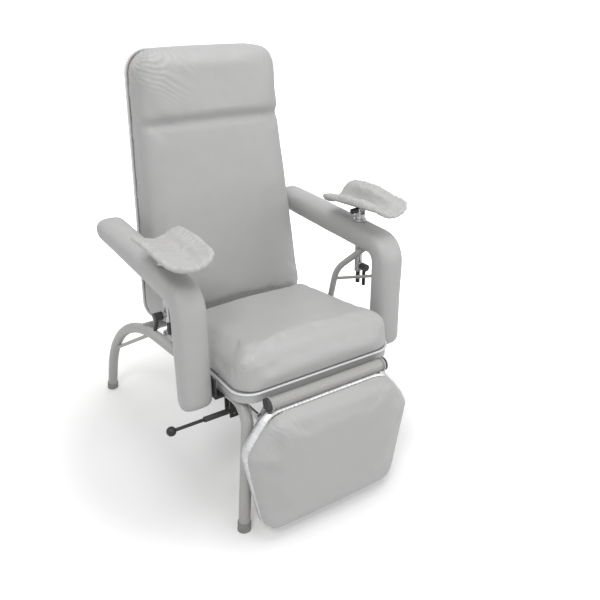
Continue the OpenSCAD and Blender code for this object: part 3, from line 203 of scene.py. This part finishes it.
# materials
class Nodes:
    """A principled material and short calls for its texture nodes."""

    def __init__(self, name, colour, roughness, metallic=0.0):
        self.material = bpy.data.materials.new(name)
        self.material.use_nodes = True
        self.tree = self.material.node_tree
        self.bsdf = self.tree.nodes["Principled BSDF"]
        self.bsdf.inputs["Base Color"].default_value = (*colour, 1.0)
        self.bsdf.inputs["Roughness"].default_value = roughness
        self.bsdf.inputs["Metallic"].default_value = metallic
        self.place = self.new("ShaderNodeTexCoord").outputs["Object"]
        self.last_bump = None

    def new(self, kind, **values):
        node = self.tree.nodes.new(kind)
        for key, value in values.items():
            setattr(node, key, value)
        return node

    def join(self, a, b):
        self.tree.links.new(a, b)

    def noise(self, scale, detail=2.0, rough=0.5, distortion=0.0, stretch=None):
        node = self.new("ShaderNodeTexNoise")
        node.inputs["Scale"].default_value = scale
        node.inputs["Detail"].default_value = detail
        node.inputs["Roughness"].default_value = rough
        node.inputs["Distortion"].default_value = distortion
        place = self.place
        if stretch:
            mapping = self.new("ShaderNodeMapping")
            mapping.inputs["Scale"].default_value = stretch
            self.join(place, mapping.inputs["Vector"])
            place = mapping.outputs["Vector"]
        self.join(place, node.inputs["Vector"])
        return node.outputs["Fac"]

    def cells(self, scale):
        node = self.new("ShaderNodeTexVoronoi")
        node.inputs["Scale"].default_value = scale
        self.join(self.place, node.inputs["Vector"])
        return node.outputs["Distance"]

    def ramp(self, value, low, high, start, end):
        node = self.new("ShaderNodeMapRange")
        node.inputs["From Min"].default_value = low
        node.inputs["From Max"].default_value = high
        node.inputs["To Min"].default_value = start
        node.inputs["To Max"].default_value = end
        self.join(value, node.inputs["Value"])
        return node.outputs["Result"]

    def bump(self, height, distance, strength=1.0):
        node = self.new("ShaderNodeBump")
        node.inputs["Strength"].default_value = strength
        node.inputs["Distance"].default_value = distance
        self.join(height, node.inputs["Height"])
        if self.last_bump:
            self.join(self.last_bump, node.inputs["Normal"])
        self.last_bump = node.outputs["Normal"]
        self.join(self.last_bump, self.bsdf.inputs["Normal"])

    def tint(self, factor, colour):
        """Mixes the colour in by the factor, over what there is."""
        node = self.new("ShaderNodeMix", data_type="RGBA")
        base = self.bsdf.inputs["Base Color"]
        if base.is_linked:
            self.join(base.links[0].from_socket, node.inputs["A"])
        else:
            node.inputs["A"].default_value = base.default_value
        node.inputs["B"].default_value = (*colour, 1.0)
        self.join(factor, node.inputs["Factor"])
        self.join(node.outputs["Result"], base)

    def rough(self, value, low, high, start, end):
        self.join(self.ramp(value, low, high, start, end), self.bsdf.inputs["Roughness"])

    def edges(self, low, high, start, end):
        pointiness = self.new("ShaderNodeNewGeometry").outputs["Pointiness"]
        return self.ramp(pointiness, low, high, start, end)

    def product(self, a, b):
        node = self.new("ShaderNodeMath", operation="MULTIPLY")
        self.join(a, node.inputs[0])
        self.join(b, node.inputs[1])
        return node.outputs[0]

    def set(self, **values):
        for key, value in values.items():
            self.bsdf.inputs[key.replace("_", " ")].default_value = value


def shade(colour, by):
    return tuple(min(1.0, c * by) for c in colour)


def vinyl(name, colour):
    m = Nodes(name, colour, 0.46)
    m.set(Sheen_Weight=0.12, Sheen_Roughness=0.5, Coat_Weight=0.06, Coat_Roughness=0.35)
    m.tint(m.ramp(m.noise(5.0, 3.0), 0.35, 0.7, 0.0, 0.5), shade(colour, 0.93))
    m.tint(m.ramp(m.noise(38.0, 4.0, 0.6), 0.5, 0.75, 0.0, 0.35), shade(colour, 1.05))
    # painted shade: the vinyl is darker where the surface is hollow, in creases, seams and inner
    # corners
    m.tint(m.edges(0.49, 0.44, 0.0, 0.5), shade(colour, 0.72))
    m.tint(m.product(m.edges(0.53, 0.60, 0.0, 0.55), m.noise(60.0, 3.0)), shade(colour, 1.2))
    m.rough(m.noise(14.0, 3.0), 0.3, 0.7, 0.40, 0.53)
    m.bump(m.noise(9.0, 3.0, 0.45, 0.6), 0.0021, 0.5)
    m.bump(m.noise(28.0, 2.0), 0.0012, 0.35)
    m.bump(m.cells(780.0), 0.00022, 0.6)
    m.bump(m.noise(1500.0, 2.0), 0.00010, 0.5)
    return m.material


def bead_vinyl(name, colour):
    m = Nodes(name, colour, 0.34)
    m.set(Coat_Weight=0.2, Coat_Roughness=0.25)
    m.tint(m.ramp(m.noise(45.0, 3.0), 0.4, 0.7, 0.0, 0.5), shade(colour, 0.86))
    # painted shade: the welt is darker in its hollows, where it tucks into the cushion
    m.tint(m.edges(0.49, 0.43, 0.0, 0.6), shade(colour, 0.5))
    m.rough(m.noise(90.0), 0.3, 0.7, 0.26, 0.42)
    m.bump(m.noise(160.0, 3.0), 0.0005, 0.5)
    m.bump(m.cells(900.0), 0.0001, 0.5)
    return m.material


def painted_tube(name, colour):
    m = Nodes(name, colour, 0.36)
    m.set(Coat_Weight=0.35, Coat_Roughness=0.22)
    m.tint(m.ramp(m.noise(7.0, 4.0), 0.35, 0.75, 0.0, 0.5), shade(colour, 0.9))
    m.tint(m.ramp(m.noise(130.0, 5.0, 0.7), 0.64, 0.72, 0.0, 0.5), shade(colour, 0.62))
    m.tint(m.product(m.edges(0.54, 0.62, 0.0, 1.0), m.noise(210.0, 3.0)), (0.30, 0.29, 0.28))
    m.rough(m.noise(25.0, 3.0), 0.3, 0.7, 0.28, 0.44)
    m.bump(m.noise(620.0, 2.0), 0.00012, 0.5)
    m.bump(m.noise(60.0, 2.0), 0.0004, 0.25)
    return m.material


def plated_steel(name, colour):
    m = Nodes(name, colour, 0.32, 1.0)
    m.tint(m.ramp(m.noise(60.0, 4.0, 0.6), 0.45, 0.75, 0.0, 0.7), shade(colour, 0.72))
    m.tint(m.ramp(m.noise(14.0, 3.0), 0.5, 0.8, 0.0, 0.4), (0.50, 0.48, 0.43))
    m.rough(m.noise(240.0, 3.0), 0.3, 0.7, 0.22, 0.44)
    m.bump(m.noise(420.0, 2.0), 0.00008, 0.6)
    return m.material


def moulded(name, colour, roughness=0.42):
    m = Nodes(name, colour, roughness)
    m.tint(m.ramp(m.noise(24.0, 3.0), 0.45, 0.75, 0.0, 0.6), shade(colour, 1.9))
    m.tint(m.product(m.edges(0.53, 0.60, 0.0, 1.0), m.noise(180.0, 3.0)), (0.07, 0.07, 0.072))
    m.rough(m.noise(110.0, 3.0), 0.3, 0.7, roughness - 0.08, roughness + 0.1)
    m.bump(m.cells(1100.0), 0.00010, 0.5)
    m.bump(m.noise(300.0, 2.0), 0.00012, 0.3)
    return m.material


def rubber(name, colour):
    m = Nodes(name, colour, 0.72)
    m.tint(m.ramp(m.noise(40.0, 4.0), 0.4, 0.75, 0.0, 0.7), shade(colour, 0.72))
    m.tint(m.ramp(m.noise(170.0, 4.0, 0.7), 0.58, 0.7, 0.0, 0.45), shade(colour, 1.5))
    m.rough(m.noise(80.0), 0.3, 0.7, 0.62, 0.85)
    m.bump(m.noise(500.0, 3.0), 0.0002, 0.6)
    return m.material


def plywood(name):
    m = Nodes(name, WOOD, 0.62)
    grain = m.noise(26.0, 5.0, 0.6, 1.2, (9.0, 9.0, 0.8))
    m.tint(m.ramp(grain, 0.4, 0.65, 0.0, 0.9), (0.27, 0.17, 0.09))
    m.tint(m.ramp(m.noise(5.0, 3.0), 0.4, 0.7, 0.0, 0.5), (0.47, 0.35, 0.22))
    m.rough(grain, 0.3, 0.7, 0.5, 0.75)
    m.bump(grain, 0.0004, 0.5)
    return m.material


def cover_cloth(name, colour):
    m = Nodes(name, colour, 0.58)
    m.set(Sheen_Weight=0.25, Sheen_Roughness=0.45, Subsurface_Weight=0.05, Subsurface_Scale=0.01)
    m.tint(m.ramp(m.noise(16.0, 4.0), 0.45, 0.75, 0.0, 0.55), shade(colour, 0.84))
    # painted shade: the cover is darker in the hollows between its crumpled folds
    m.tint(m.edges(0.49, 0.44, 0.0, 0.8), shade(colour, 0.6))
    m.tint(m.ramp(m.noise(70.0, 4.0, 0.6), 0.5, 0.75, 0.0, 0.4), shade(colour, 1.08))
    m.rough(m.noise(40.0, 3.0), 0.3, 0.7, 0.48, 0.68)
    m.bump(m.noise(26.0, 4.0, 0.6, 1.4), 0.006, 0.55)
    m.bump(m.noise(75.0, 3.0, 0.6, 0.8), 0.0016, 0.5)
    m.bump(m.cells(1300.0), 0.00012, 0.5)
    return m.material


def make_materials():
    return {
        "grey_vinyl": vinyl("grey_vinyl_look", GREY_VINYL),
        "white_piping": bead_vinyl("white_piping_look", PIPING_WHITE),
        "bright_trim": plated_steel("bright_trim_look", TRIM_STEEL),
        "trough_cover": cover_cloth("trough_cover_look", COVER_WHITE),
        "grey_rubber": rubber("grey_rubber_look", RUBBER_GREY),
        "plywood": plywood("plywood_look"),
        "black_plastic": moulded("black_plastic_look", BLACK),
        "black_steel": moulded("black_steel_look", BLACK_STEEL, 0.34),
        "bright_steel": plated_steel("bright_steel_look", STEEL),
        "white_paint": painted_tube("white_paint_look", TUBE_PAINT),
    }


# soft goods
def remeshed(obj, voxel=VOXEL):
    modifier = obj.modifiers.new("even faces", "REMESH")
    modifier.mode = "VOXEL"
    modifier.voxel_size = voxel
    set_mesh(obj, evaluated_mesh(obj))


def shrunk(obj, by, free):
    """Draws the points in along their normals by a length, where free says 1."""
    mesh = obj.data
    put_coordinates(mesh, coordinates(mesh) - normals(mesh) * by * free(coordinates(mesh))[:, None])


def inflated(obj, free, cap):
    """Swells a closed form like stuffed fabric, by at most the cap, pinned where free says 0."""
    mesh = obj.data
    before = coordinates(mesh)
    held = 1.0 - free(before)
    group = obj.vertex_groups.new(name="held")
    for index in np.nonzero(held > 0.0)[0]:
        group.add([int(index)], float(held[index]), "REPLACE")
    cloth = obj.modifiers.new("stuffing", "CLOTH")
    cloth.settings.quality = 5
    cloth.settings.mass = 0.3
    cloth.settings.tension_stiffness = STUFFING_STIFFNESS
    cloth.settings.compression_stiffness = STUFFING_STIFFNESS
    cloth.settings.bending_stiffness = STUFFING_BENDING
    cloth.settings.use_pressure = True
    cloth.settings.uniform_pressure_force = STUFFING_PRESSURE
    cloth.settings.effector_weights.gravity = 0.0
    cloth.settings.vertex_group_mass = "held"
    cloth.point_cache.frame_start = 1
    cloth.point_cache.frame_end = LAST_FRAME
    for number in range(1, LAST_FRAME + 1):
        SCENE.frame_set(number)
    result = evaluated_mesh(obj)
    after = coordinates(result)
    move = after - before
    length = np.linalg.norm(move, axis=1)
    share = np.where(length > cap, cap / np.maximum(length, 1e-9), 1.0)
    put_coordinates(result, before + move * share[:, None])
    set_mesh(obj, result)
    obj.vertex_groups.clear()
    SCENE.frame_set(1)


def smoothed(obj, factor=0.5, times=4):
    modifier = obj.modifiers.new("even", "SMOOTH")
    modifier.factor = factor
    modifier.iterations = times
    set_mesh(obj, evaluated_mesh(obj))


def subdivided(obj):
    modifier = obj.modifiers.new("fine", "SUBSURF")
    modifier.levels = 1
    modifier.render_levels = 1
    set_mesh(obj, evaluated_mesh(obj))


def wrinkled(obj, height):
    """Moves the points along their normals by height(point), in metres."""
    mesh = obj.data
    points = coordinates(mesh)
    out = normals(mesh)
    moves = np.array([height(Vector(p)) for p in points])
    put_coordinates(mesh, points + out * moves[:, None])


def pleats(point, centre, direction, spacing, reach, depth):
    """Folds that run along the direction near the centre and fade out within the reach."""
    away = point - centre
    distance = away.length
    if distance > reach:
        return 0.0
    along = away.dot(direction)
    across = away - direction * along
    bend = noise.noise(point * 22.0) * 2.2
    wave = math.sin(across.length / spacing * math.tau + bend + along * 30.0)
    fade = (1.0 - distance / reach) ** 1.4
    return depth * fade * (0.5 * wave + 0.25 * noise.noise(point * 90.0))


def cushion(node, name, free, cap, shrink, folds):
    """A stuffed cushion made from a node's solid, with its folds."""
    obj = copy_of(node, name)
    remeshed(obj)
    shrunk(obj, shrink, free)
    inflated(obj, free, cap)
    smoothed(obj, 0.5, 6)
    smoothed(obj)
    subdivided(obj)

    def height(point):
        total = WAVES * noise.noise(point * 9.0) + 0.4 * WAVES * noise.noise(point * 31.0)
        for fold in folds:
            total += pleats(point, *fold)
        return total * float(free(np.array([point[:]]))[0])

    wrinkled(obj, height)
    return obj


# places on the tilted cushions
BACK_Y, BACK_Z, BACK_LEAN, BACK_LENGTH = 0.1325, 0.4018, math.radians(6.3), 0.773
LEG_Y, LEG_Z, LEG_LEAN, LEG_LENGTH = 0.4516, 0.385, math.radians(2.8), 0.355


def tilted(y0, z0, lean):
    """Turns a place's side, depth and height into the shared frame."""
    return Matrix.Translation((0.0, y0, z0)) @ Matrix.Rotation(-lean, 4, "X")


BACK_PLACE = tilted(BACK_Y, BACK_Z, BACK_LEAN)
LEG_PLACE = tilted(-LEG_Y, LEG_Z, LEG_LEAN)


def local(place, points):
    inverse = np.array(place.inverted())
    return points @ inverse[:3, :3].T + inverse[:3, 3]


def seat_free(points):
    return step(0.430, 0.448, points[:, 2])


def back_free(points):
    inner = local(BACK_PLACE, points)
    return step(0.006, 0.024, -inner[:, 1])


def leg_free(points):
    inner = local(LEG_PLACE, points)
    return step(0.006, 0.020, -inner[:, 1])


def corner_folds(place, half, low, high, depth):
    """Pleats that fan out from a cushion's corners."""
    turn = place.to_3x3()
    result = []
    for side in (-1.0, 1.0):
        for height, lean in ((low, 1.0), (high, -1.0)):
            centre = place @ Vector((side * half, depth, height))
            direction = turn @ Vector((-side * 0.6, -0.2, lean)).normalized()
            result.append((centre, direction, *CORNER_FOLD))
    return result


def seat_folds():
    result = []
    for side in (-1, 1):
        for y, turn in ((-0.40, 0.7), (-0.02, -0.7)):
            direction = Vector((-side * 0.7, turn, 0.3)).normalized()
            result.append((Vector((side * 0.215, y, 0.50)), direction, *SEAT_FOLD))
    return result


def back_folds():
    result = corner_folds(BACK_PLACE, 0.185, 0.05, BACK_LENGTH - 0.035, -0.07)
    centre = BACK_PLACE @ Vector((-0.13, -0.075, BACK_LENGTH - 0.05))
    direction = (BACK_PLACE.to_3x3() @ Vector((0.8, 0.0, -0.6))).normalized()
    return result + [(centre, direction, *PILLOW_FOLD)]


def make_cushions(mat):
    seat = cushion("seat_cushion", "seat_cushion_soft", seat_free, 0.010, 0.0015, seat_folds())
    dress(seat, mat["grey_vinyl"], "grey_vinyl", "chair_frame", "seat_cushion")
    back = cushion("back_cushion", "back_cushion_soft", back_free, 0.010, 0.0015, back_folds())
    dress(back, mat["grey_vinyl"], "grey_vinyl", "back", "back_cushion")
    leg = cushion("leg_cushion", "leg_cushion_soft", leg_free, 0.008, 0.0012,
                  corner_folds(LEG_PLACE, 0.15, -LEG_LENGTH + 0.04, -0.04, -0.035))
    dress(leg, mat["grey_vinyl"], "grey_vinyl", "leg_rest", "leg_cushion")


# arm pads: rows of rounded sections along the upright part, the bend and the level part
def arm_rows():
    rise = math.atan((ARM_REAR_HEIGHT - ARM_HEIGHT) / (ARM_REAR + ARM_FRONT))
    turn = math.pi / 2 - rise
    cut = ARM_BEND * math.tan(turn / 2)
    corner = Vector((-ARM_FRONT, ARM_HEIGHT))
    level = Vector((math.cos(rise), math.sin(rise)))
    middle = corner + Vector((ARM_BEND, -cut))
    upright = ARM_HEIGHT - cut - ARM_BOTTOM
    length = (ARM_REAR + ARM_FRONT) / math.cos(rise) - cut
    count = 48

    def squared(v):
        return math.copysign(abs(v) ** ARM_SQUARENESS, v)

    def round_share(d):
        return 1.0 if d >= ARM_END else math.sqrt(1 - (1 - d / ARM_END) ** 2)

    def row(at, angle, d):
        k = 1 - (1 - round_share(d)) * ARM_END / ARM_HALF_THICK
        points = []
        for i in range(count):
            a = math.tau * i / count
            t = squared(math.sin(a)) * ARM_HALF_THICK * k
            x = squared(math.cos(a)) * (ARM_HALF_WIDTH - ARM_END * (1 - k) * 0.5)
            points.append(Vector((x, at[0] - t * math.cos(angle), at[1] + t * math.sin(angle))))
        return points

    ends = [0.0, 0.03, 0.08, 0.16, 0.28, 0.42, 0.58, 0.78, 1.0]
    rows = [row(Vector((-ARM_FRONT, ARM_BOTTOM + t * ARM_END)), 0.0, t * ARM_END) for t in ends]
    rows += [row(Vector((-ARM_FRONT, ARM_BOTTOM + ARM_END + t * (upright - ARM_END))), 0.0, ARM_END)
             for t in (0.2, 0.4, 0.6, 0.8, 1.0)]
    for t in (0.12, 0.25, 0.37, 0.5, 0.62, 0.75, 0.88):
        out = Vector((-math.cos(t * turn), math.sin(t * turn)))
        rows.append(row(middle + ARM_BEND * out, t * turn, ARM_END))
    rows += [row(corner + level * (cut + t * (length - ARM_END)), turn, ARM_END)
             for t in (0.0, 0.15, 0.3, 0.45, 0.6, 0.75, 0.9, 1.0)]
    rows += [row(corner + level * (cut + length - t * ARM_END), turn, t * ARM_END)
             for t in reversed(ends[:-1])]
    return rows


def skin(rows):
    count = len(rows[0])
    verts = [p for row in rows for p in row]
    faces = []
    for i in range(len(rows) - 1):
        for j in range(count):
            a, b = i * count + j, i * count + (j + 1) % count
            faces.append((a, b, b + count, a + count))
    faces.append(tuple(range(count)))
    faces.append(tuple(range(len(verts) - 1, len(verts) - count - 1, -1)))
    return verts, faces


def all_free(points):
    return np.ones(len(points))


def make_arm_pads(mat):
    verts, faces = skin(arm_rows())
    for side, sign in (("left", -1.0), ("right", 1.0)):
        placed = [Vector((sign * (v.x + ARM_X), v.y, v.z)) for v in verts]
        pad = mesh_object("arm_pad_soft_" + side, placed, faces)
        remeshed(pad, ARM_VOXEL)
        shrunk(pad, 0.002, all_free)
        inflated(pad, all_free, 0.004)
        smoothed(pad, 0.5, 8)
        smoothed(pad)
        subdivided(pad)
        elbow = Vector((sign * ARM_X, -ARM_FRONT + 0.035, ARM_HEIGHT - 0.035))

        def height(point):
            total = 0.0010 * noise.noise(point * 11.0) + 0.0004 * noise.noise(point * 37.0)
            return total + pleats(point, elbow, Vector((0.0, -0.7, 0.7)), *ELBOW_FOLD)

        wrinkled(pad, height)
        dress(pad, mat["grey_vinyl"], "grey_vinyl", "chair_frame", "arm_pad_" + side)


# trough covers: soft covers pulled over the trough's rim
def trough_place(side):
    low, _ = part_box("trough_cover_" + side)
    sign = -1.0 if side == "left" else 1.0
    turn = sign * math.radians(TROUGH_TURN[side])
    at = Vector((sign * ARM_X, -POST_Y, 0.0))
    place = Matrix.Translation(at) @ Matrix.Rotation(turn, 4, "Z")
    return place @ Matrix.Translation((0.0, -TROUGH_SHIFT[side], low[2] - SHELL_THICK))


def outline_reach(angle, width, length, corner):
    """Distance from the middle of a rounded rectangle to its edge at an angle."""
    c, s = abs(math.cos(angle)), abs(math.sin(angle))
    half_x, half_y = width / 2, length / 2
    reach = min(half_x / max(c, 1e-6), half_y / max(s, 1e-6))
    cx, cy = half_x - corner, half_y - corner
    if reach * c > cx and reach * s > cy:
        b = cx * c + cy * s
        reach = b + math.sqrt(max(0.0, b * b - (cx * cx + cy * cy - corner * corner)))
    return reach


def cover_heights(side, angle, share, x, y):
    """Height of the crumpled cover above its pad, in metres."""
    spot = Vector((x, y, 0.0)) + COVER_SPOT[side]
    crumple = noise.ridged_multi_fractal(spot * 15.0, 1.0, 2.1, 3, 1.0, 2.0) - 1.1
    swell = noise.noise(spot * 19.0)
    fine = noise.noise(spot * 62.0)
    gather = math.sin(angle * 23.0 + 3.0 * noise.noise(spot * 20.0))
    rim = share ** 6
    lift = 0.0034 * crumple * (1.0 - 0.5 * rim) + 0.0030 * swell
    lift += 0.0009 * fine + 0.0022 * gather * rim
    lobe = math.exp(-((abs(x) - 0.040) / 0.014) ** 2) * math.exp(-(y / 0.085) ** 4)
    fold = math.exp(-((x - 0.010 - 0.12 * y) / 0.012) ** 2) * math.exp(-(y / 0.07) ** 4)
    lobe_height, fold_height = LOBE_AND_FOLD[side]
    return lift + lobe_height * lobe + fold_height * fold


def wing_rise(side, x, y):
    """How much higher than the shell the puffed cover's wings stand."""
    far = float(step(0.012, 0.056, x)) * float(step(-0.095, 0.055, y))
    near = float(step(0.012, 0.056, -x)) * math.exp(-(y / 0.080) ** 2)
    return WINGS[side][0] * far + WINGS[side][1] * near


def cover_points(side):
    """The cover's rings of points: its top, its hem, its underside, and then the top's middle."""
    place = trough_place(side)

    def on_sheet(x, y, off):
        """Point of the bent sheet at x and y, moved towards the trough's axis by off."""
        phi = math.asin(max(-0.99, min(0.99, x / COVER_HOLLOW)))
        radius = COVER_HOLLOW - off
        height = COVER_HOLLOW + SHELL_THICK - radius * math.cos(phi) + wing_rise(side, x, y)
        return place @ Vector((radius * math.sin(phi), y, height))

    spokes = []
    for j in range(COVER_SPOKES):
        angle = math.tau * j / COVER_SPOKES
        spokes.append((angle, outline_reach(angle, TROUGH_WIDTH, TROUGH_LENGTH, TROUGH_CORNER)))
    points = []
    for i in range(1, COVER_RINGS + 1):
        share = (i / COVER_RINGS) ** 0.85
        puff = COVER_THICK * (COVER_MIDDLE_PUFF - COVER_RIM_LOSS * share ** 8)
        for angle, reach in spokes:
            x, y = share * reach * math.cos(angle), share * reach * math.sin(angle)
            points.append(on_sheet(x, y, puff + cover_heights(side, angle, share, x, y)))
    for depth, out in HEM_ROWS:
        for angle, reach in spokes:
            ruffle = noise.noise(Vector((angle * 3.0, depth, reach * 30.0)))
            wave = 1.0 + 0.30 * math.sin(angle * HEM_RUFFLES) + 0.45 * ruffle
            x, y = (reach + out * wave) * math.cos(angle), (reach + out * wave) * math.sin(angle)
            hang = HEM_HANG[side] * float(step(0.3, 1.0, -math.cos(angle)))
            drop = Vector((0.0, 0.0, HEM_DROP * min(depth, 0.0) * hang))
            points.append(on_sheet(x, y, SHELL_THICK + HEM_DROP * depth) + drop)
    for share, off in UNDER_ROWS:
        for angle, reach in spokes:
            wave = 1.0 + 0.12 * math.sin(angle * HEM_RUFFLES)
            x, y = share * reach * math.cos(angle), share * reach * math.sin(angle)
            points.append(on_sheet(x, y, off * wave))
    middle = COVER_MIDDLE_PUFF * COVER_THICK + cover_heights(side, 0.0, 0.0, 0.0, 0.0)
    points.append(on_sheet(0.0, 0.0, middle))
    return points


def cover_faces(count):
    """Faces between rings of points, and from the innermost ring to the last of all the points."""
    faces = []
    for i in range(count // COVER_SPOKES - 1):
        low, high = i * COVER_SPOKES, (i + 1) * COVER_SPOKES
        for j in range(COVER_SPOKES):
            k = (j + 1) % COVER_SPOKES
            faces.append((low + j, low + k, high + k, high + j))
    for j in range(COVER_SPOKES):
        faces.append((count - 1, (j + 1) % COVER_SPOKES, j))
    return faces


def make_trough_covers(mat):
    for side in ("left", "right"):
        verts = cover_points(side)
        cover = mesh_object("trough_cover_soft_" + side, verts, cover_faces(len(verts)))
        smoothed(cover, 0.4, 2)
        subdivided(cover)
        dress(cover, mat["trough_cover"], "trough_cover", "arm_trough_" + side,
              "trough_cover_" + side)


# piping
def hull(points):
    """Convex outline of flat points, counterclockwise."""
    rows = sorted({(round(p[0], 5), round(p[1], 5)) for p in points})

    def half(items):
        chain = []
        for p in items:
            while len(chain) > 1 and ((chain[-1][0] - chain[-2][0]) * (p[1] - chain[-2][1])
                                      - (chain[-1][1] - chain[-2][1]) * (p[0] - chain[-2][0])) <= 0:
                chain.pop()
            chain.append(p)
        return chain[:-1]

    return half(rows) + half(rows[::-1])


def even_outline(chain, spacing):
    """The outline's points at even distances, each with the direction outwards."""
    pts = [Vector(p) for p in chain]
    lengths = [(pts[(i + 1) % len(pts)] - p).length for i, p in enumerate(pts)]
    total = sum(lengths)
    count = int(total / spacing)
    result = []
    for n in range(count):
        d, i = total * n / count, 0
        while d > lengths[i]:
            d -= lengths[i]
            i += 1
        result.append(pts[i].lerp(pts[(i + 1) % len(pts)], d / lengths[i]))
    found = []
    for n, p in enumerate(result):
        ahead, behind = result[(n + 1) % count], result[n - 1]
        along = (ahead - behind).normalized()
        found.append((p, Vector((along.y, -along.x))))
    return found


def outline_of(node, place, axes):
    """A node's outline in the plane of two local axes, and the ends of its third coordinate."""
    points = local(place, coordinates(NODES[node].data))
    third = 3 - axes[0] - axes[1]
    return hull(points[:, list(axes)]), points[:, third].min(), points[:, third].max()


def ring_point(place, axes, flat, third):
    point = [0.0, 0.0, 0.0]
    point[axes[0]], point[axes[1]] = flat[0], flat[1]
    point[3 - axes[0] - axes[1]] = third
    return place @ Vector(point)


def bead(name, node, place, axes, mat, slot_name, body):
    """A round welt along the outer edge of a CAD strip, with a thin flange that runs inwards."""
    chain, low, high = outline_of(node, place, axes)
    radius = (high - low) / 2
    middle = (high + low) / 2
    section = [(math.cos(a), math.sin(a)) for a in BEAD_ARC] + BEAD_FLANGE
    verts, faces = [], []
    points = even_outline(chain, BEAD_STEP)
    for n, (flat, out) in enumerate(points):
        wave = 1.0 + 0.035 * math.sin(n * 2.1) + 0.02 * noise.noise(Vector((n * 0.21, 0.0, 1.0)))
        for u, v in section:
            at = flat + out * (u - 1.0) * radius
            verts.append(ring_point(place, axes, at, middle + v * radius * wave))
    size = len(section)
    for n in range(len(points)):
        m = (n + 1) % len(points)
        for i in range(size):
            j = (i + 1) % size
            faces.append((n * size + i, n * size + j, m * size + j, m * size + i))
    obj = mesh_object(name, verts, faces)
    return dress(obj, mat[slot_name], slot_name, body, node)


def make_piping(mat):
    flat_place = Matrix.Identity(4)
    bead("seat_welt", "seat_piping", flat_place, (0, 1), mat, "white_piping", "chair_frame")
    bead("back_welt", "back_piping", BACK_PLACE, (0, 2), mat, "white_piping", "back")
    bead("leg_edge_trim", "leg_trim", LEG_PLACE, (0, 2), mat, "bright_trim", "leg_rest")


# carried-over nodes
def dress_nodes(mat):
    slots = {row["node"]: row["material_slot"] for row in frame["record"]["subparts"]}
    for name, obj in NODES.items():
        for place in obj.material_slots:
            place.material = mat[slots[name]]


# stage
def added(tree, kind, operation=None, **values):
    """A new shader node with an operation and the values of its inputs."""
    node = tree.nodes.new(kind)
    if operation:
        node.operation = operation
    for name, value in values.items():
        node.inputs[name.replace("_", " ")].default_value = value
    return node


def make_floor():
    corners = [(-1, -1), (1, -1), (1, 1), (-1, 1)]
    verts = [(x * FLOOR_HALF, y * FLOOR_HALF, FLOOR_LEVEL) for x, y in corners]
    floor = mesh_object("floor", verts, [(0, 1, 2, 3)], False)
    m = bpy.data.materials.new("floor_look")
    m.use_nodes = True
    tree = m.node_tree
    tree.nodes.clear()
    out = added(tree, "ShaderNodeOutputMaterial")
    add = added(tree, "ShaderNodeAddShader")
    diffuse = added(tree, "ShaderNodeBsdfDiffuse", Color=(*FLOOR_COLOUR, 1.0))
    glow = added(tree, "ShaderNodeEmission")
    rays = added(tree, "ShaderNodeLightPath")
    times = added(tree, "ShaderNodeMath", "MULTIPLY")
    place = added(tree, "ShaderNodeTexCoord")
    far = added(tree, "ShaderNodeVectorMath", "LENGTH")
    glows = added(tree, "ShaderNodeMapRange", From_Min=FLOOR_NEAR, From_Max=FLOOR_FAR,
                  To_Min=FLOOR_GLOW, To_Max=1.0)
    for start, end in ((place.outputs["Object"], far.inputs[0]),
                       (far.outputs["Value"], glows.inputs["Value"]),
                       (glows.outputs["Result"], times.inputs[1]),
                       (rays.outputs["Is Camera Ray"], times.inputs[0]),
                       (times.outputs[0], glow.inputs["Strength"]),
                       (diffuse.outputs[0], add.inputs[0]),
                       (glow.outputs[0], add.inputs[1]),
                       (add.outputs[0], out.inputs["Surface"])):
        tree.links.new(start, end)
    floor.data.materials.append(m)


def make_world():
    world = bpy.data.worlds.new("studio")
    SCENE.world = world
    world.use_nodes = True
    tree = world.node_tree
    tree.nodes.clear()
    out = added(tree, "ShaderNodeOutputWorld")
    mix = added(tree, "ShaderNodeMixShader")
    rays = added(tree, "ShaderNodeLightPath")
    room = added(tree, "ShaderNodeBackground", Color=(*WHITE, 1.0), Strength=WORLD_LIGHT)
    seen = added(tree, "ShaderNodeBackground", Color=(*WHITE, 1.0), Strength=1.0)
    most = added(tree, "ShaderNodeMath", "MAXIMUM")
    both = added(tree, "ShaderNodeMath", "MAXIMUM")
    for start, end in ((rays.outputs["Is Camera Ray"], most.inputs[0]),
                       (rays.outputs["Is Transmission Ray"], most.inputs[1]),
                       (most.outputs[0], both.inputs[0]),
                       (rays.outputs["Is Glossy Ray"], both.inputs[1]),
                       (both.outputs[0], mix.inputs["Fac"]),
                       (room.outputs[0], mix.inputs[1]),
                       (seen.outputs[0], mix.inputs[2]),
                       (mix.outputs[0], out.inputs["Surface"])):
        tree.links.new(start, end)


def area_lamp(name, at, target, size, power):
    data = bpy.data.lights.new(name, "AREA")
    data.shape = "DISK"
    data.size = size
    data.energy = power
    lamp = link(bpy.data.objects.new(name, data))
    lamp.location = at
    lamp.rotation_euler = (Vector(target) - Vector(at)).to_track_quat("-Z", "Y").to_euler()


def make_camera():
    data = bpy.data.cameras.new("photo_camera")
    data.lens = CAMERA_LENS
    data.sensor_width = CAMERA_SENSOR
    data.clip_end = CAMERA_CLIP
    camera = link(bpy.data.objects.new("photo_camera", data))
    turn = Matrix((CAMERA_RIGHT, CAMERA_UP, -CAMERA_FORWARD)).transposed()
    camera.matrix_world = Matrix.Translation(CAMERA_AT) @ turn.to_4x4()
    SCENE.camera = camera


make_camera()
materials = make_materials()
dress_nodes(materials)
make_cushions(materials)
make_arm_pads(materials)
make_trough_covers(materials)
make_piping(materials)
make_floor()
make_world()
for lamp in LAMPS:
    area_lamp(*lamp)
SCENE.view_settings.view_transform = "Standard"
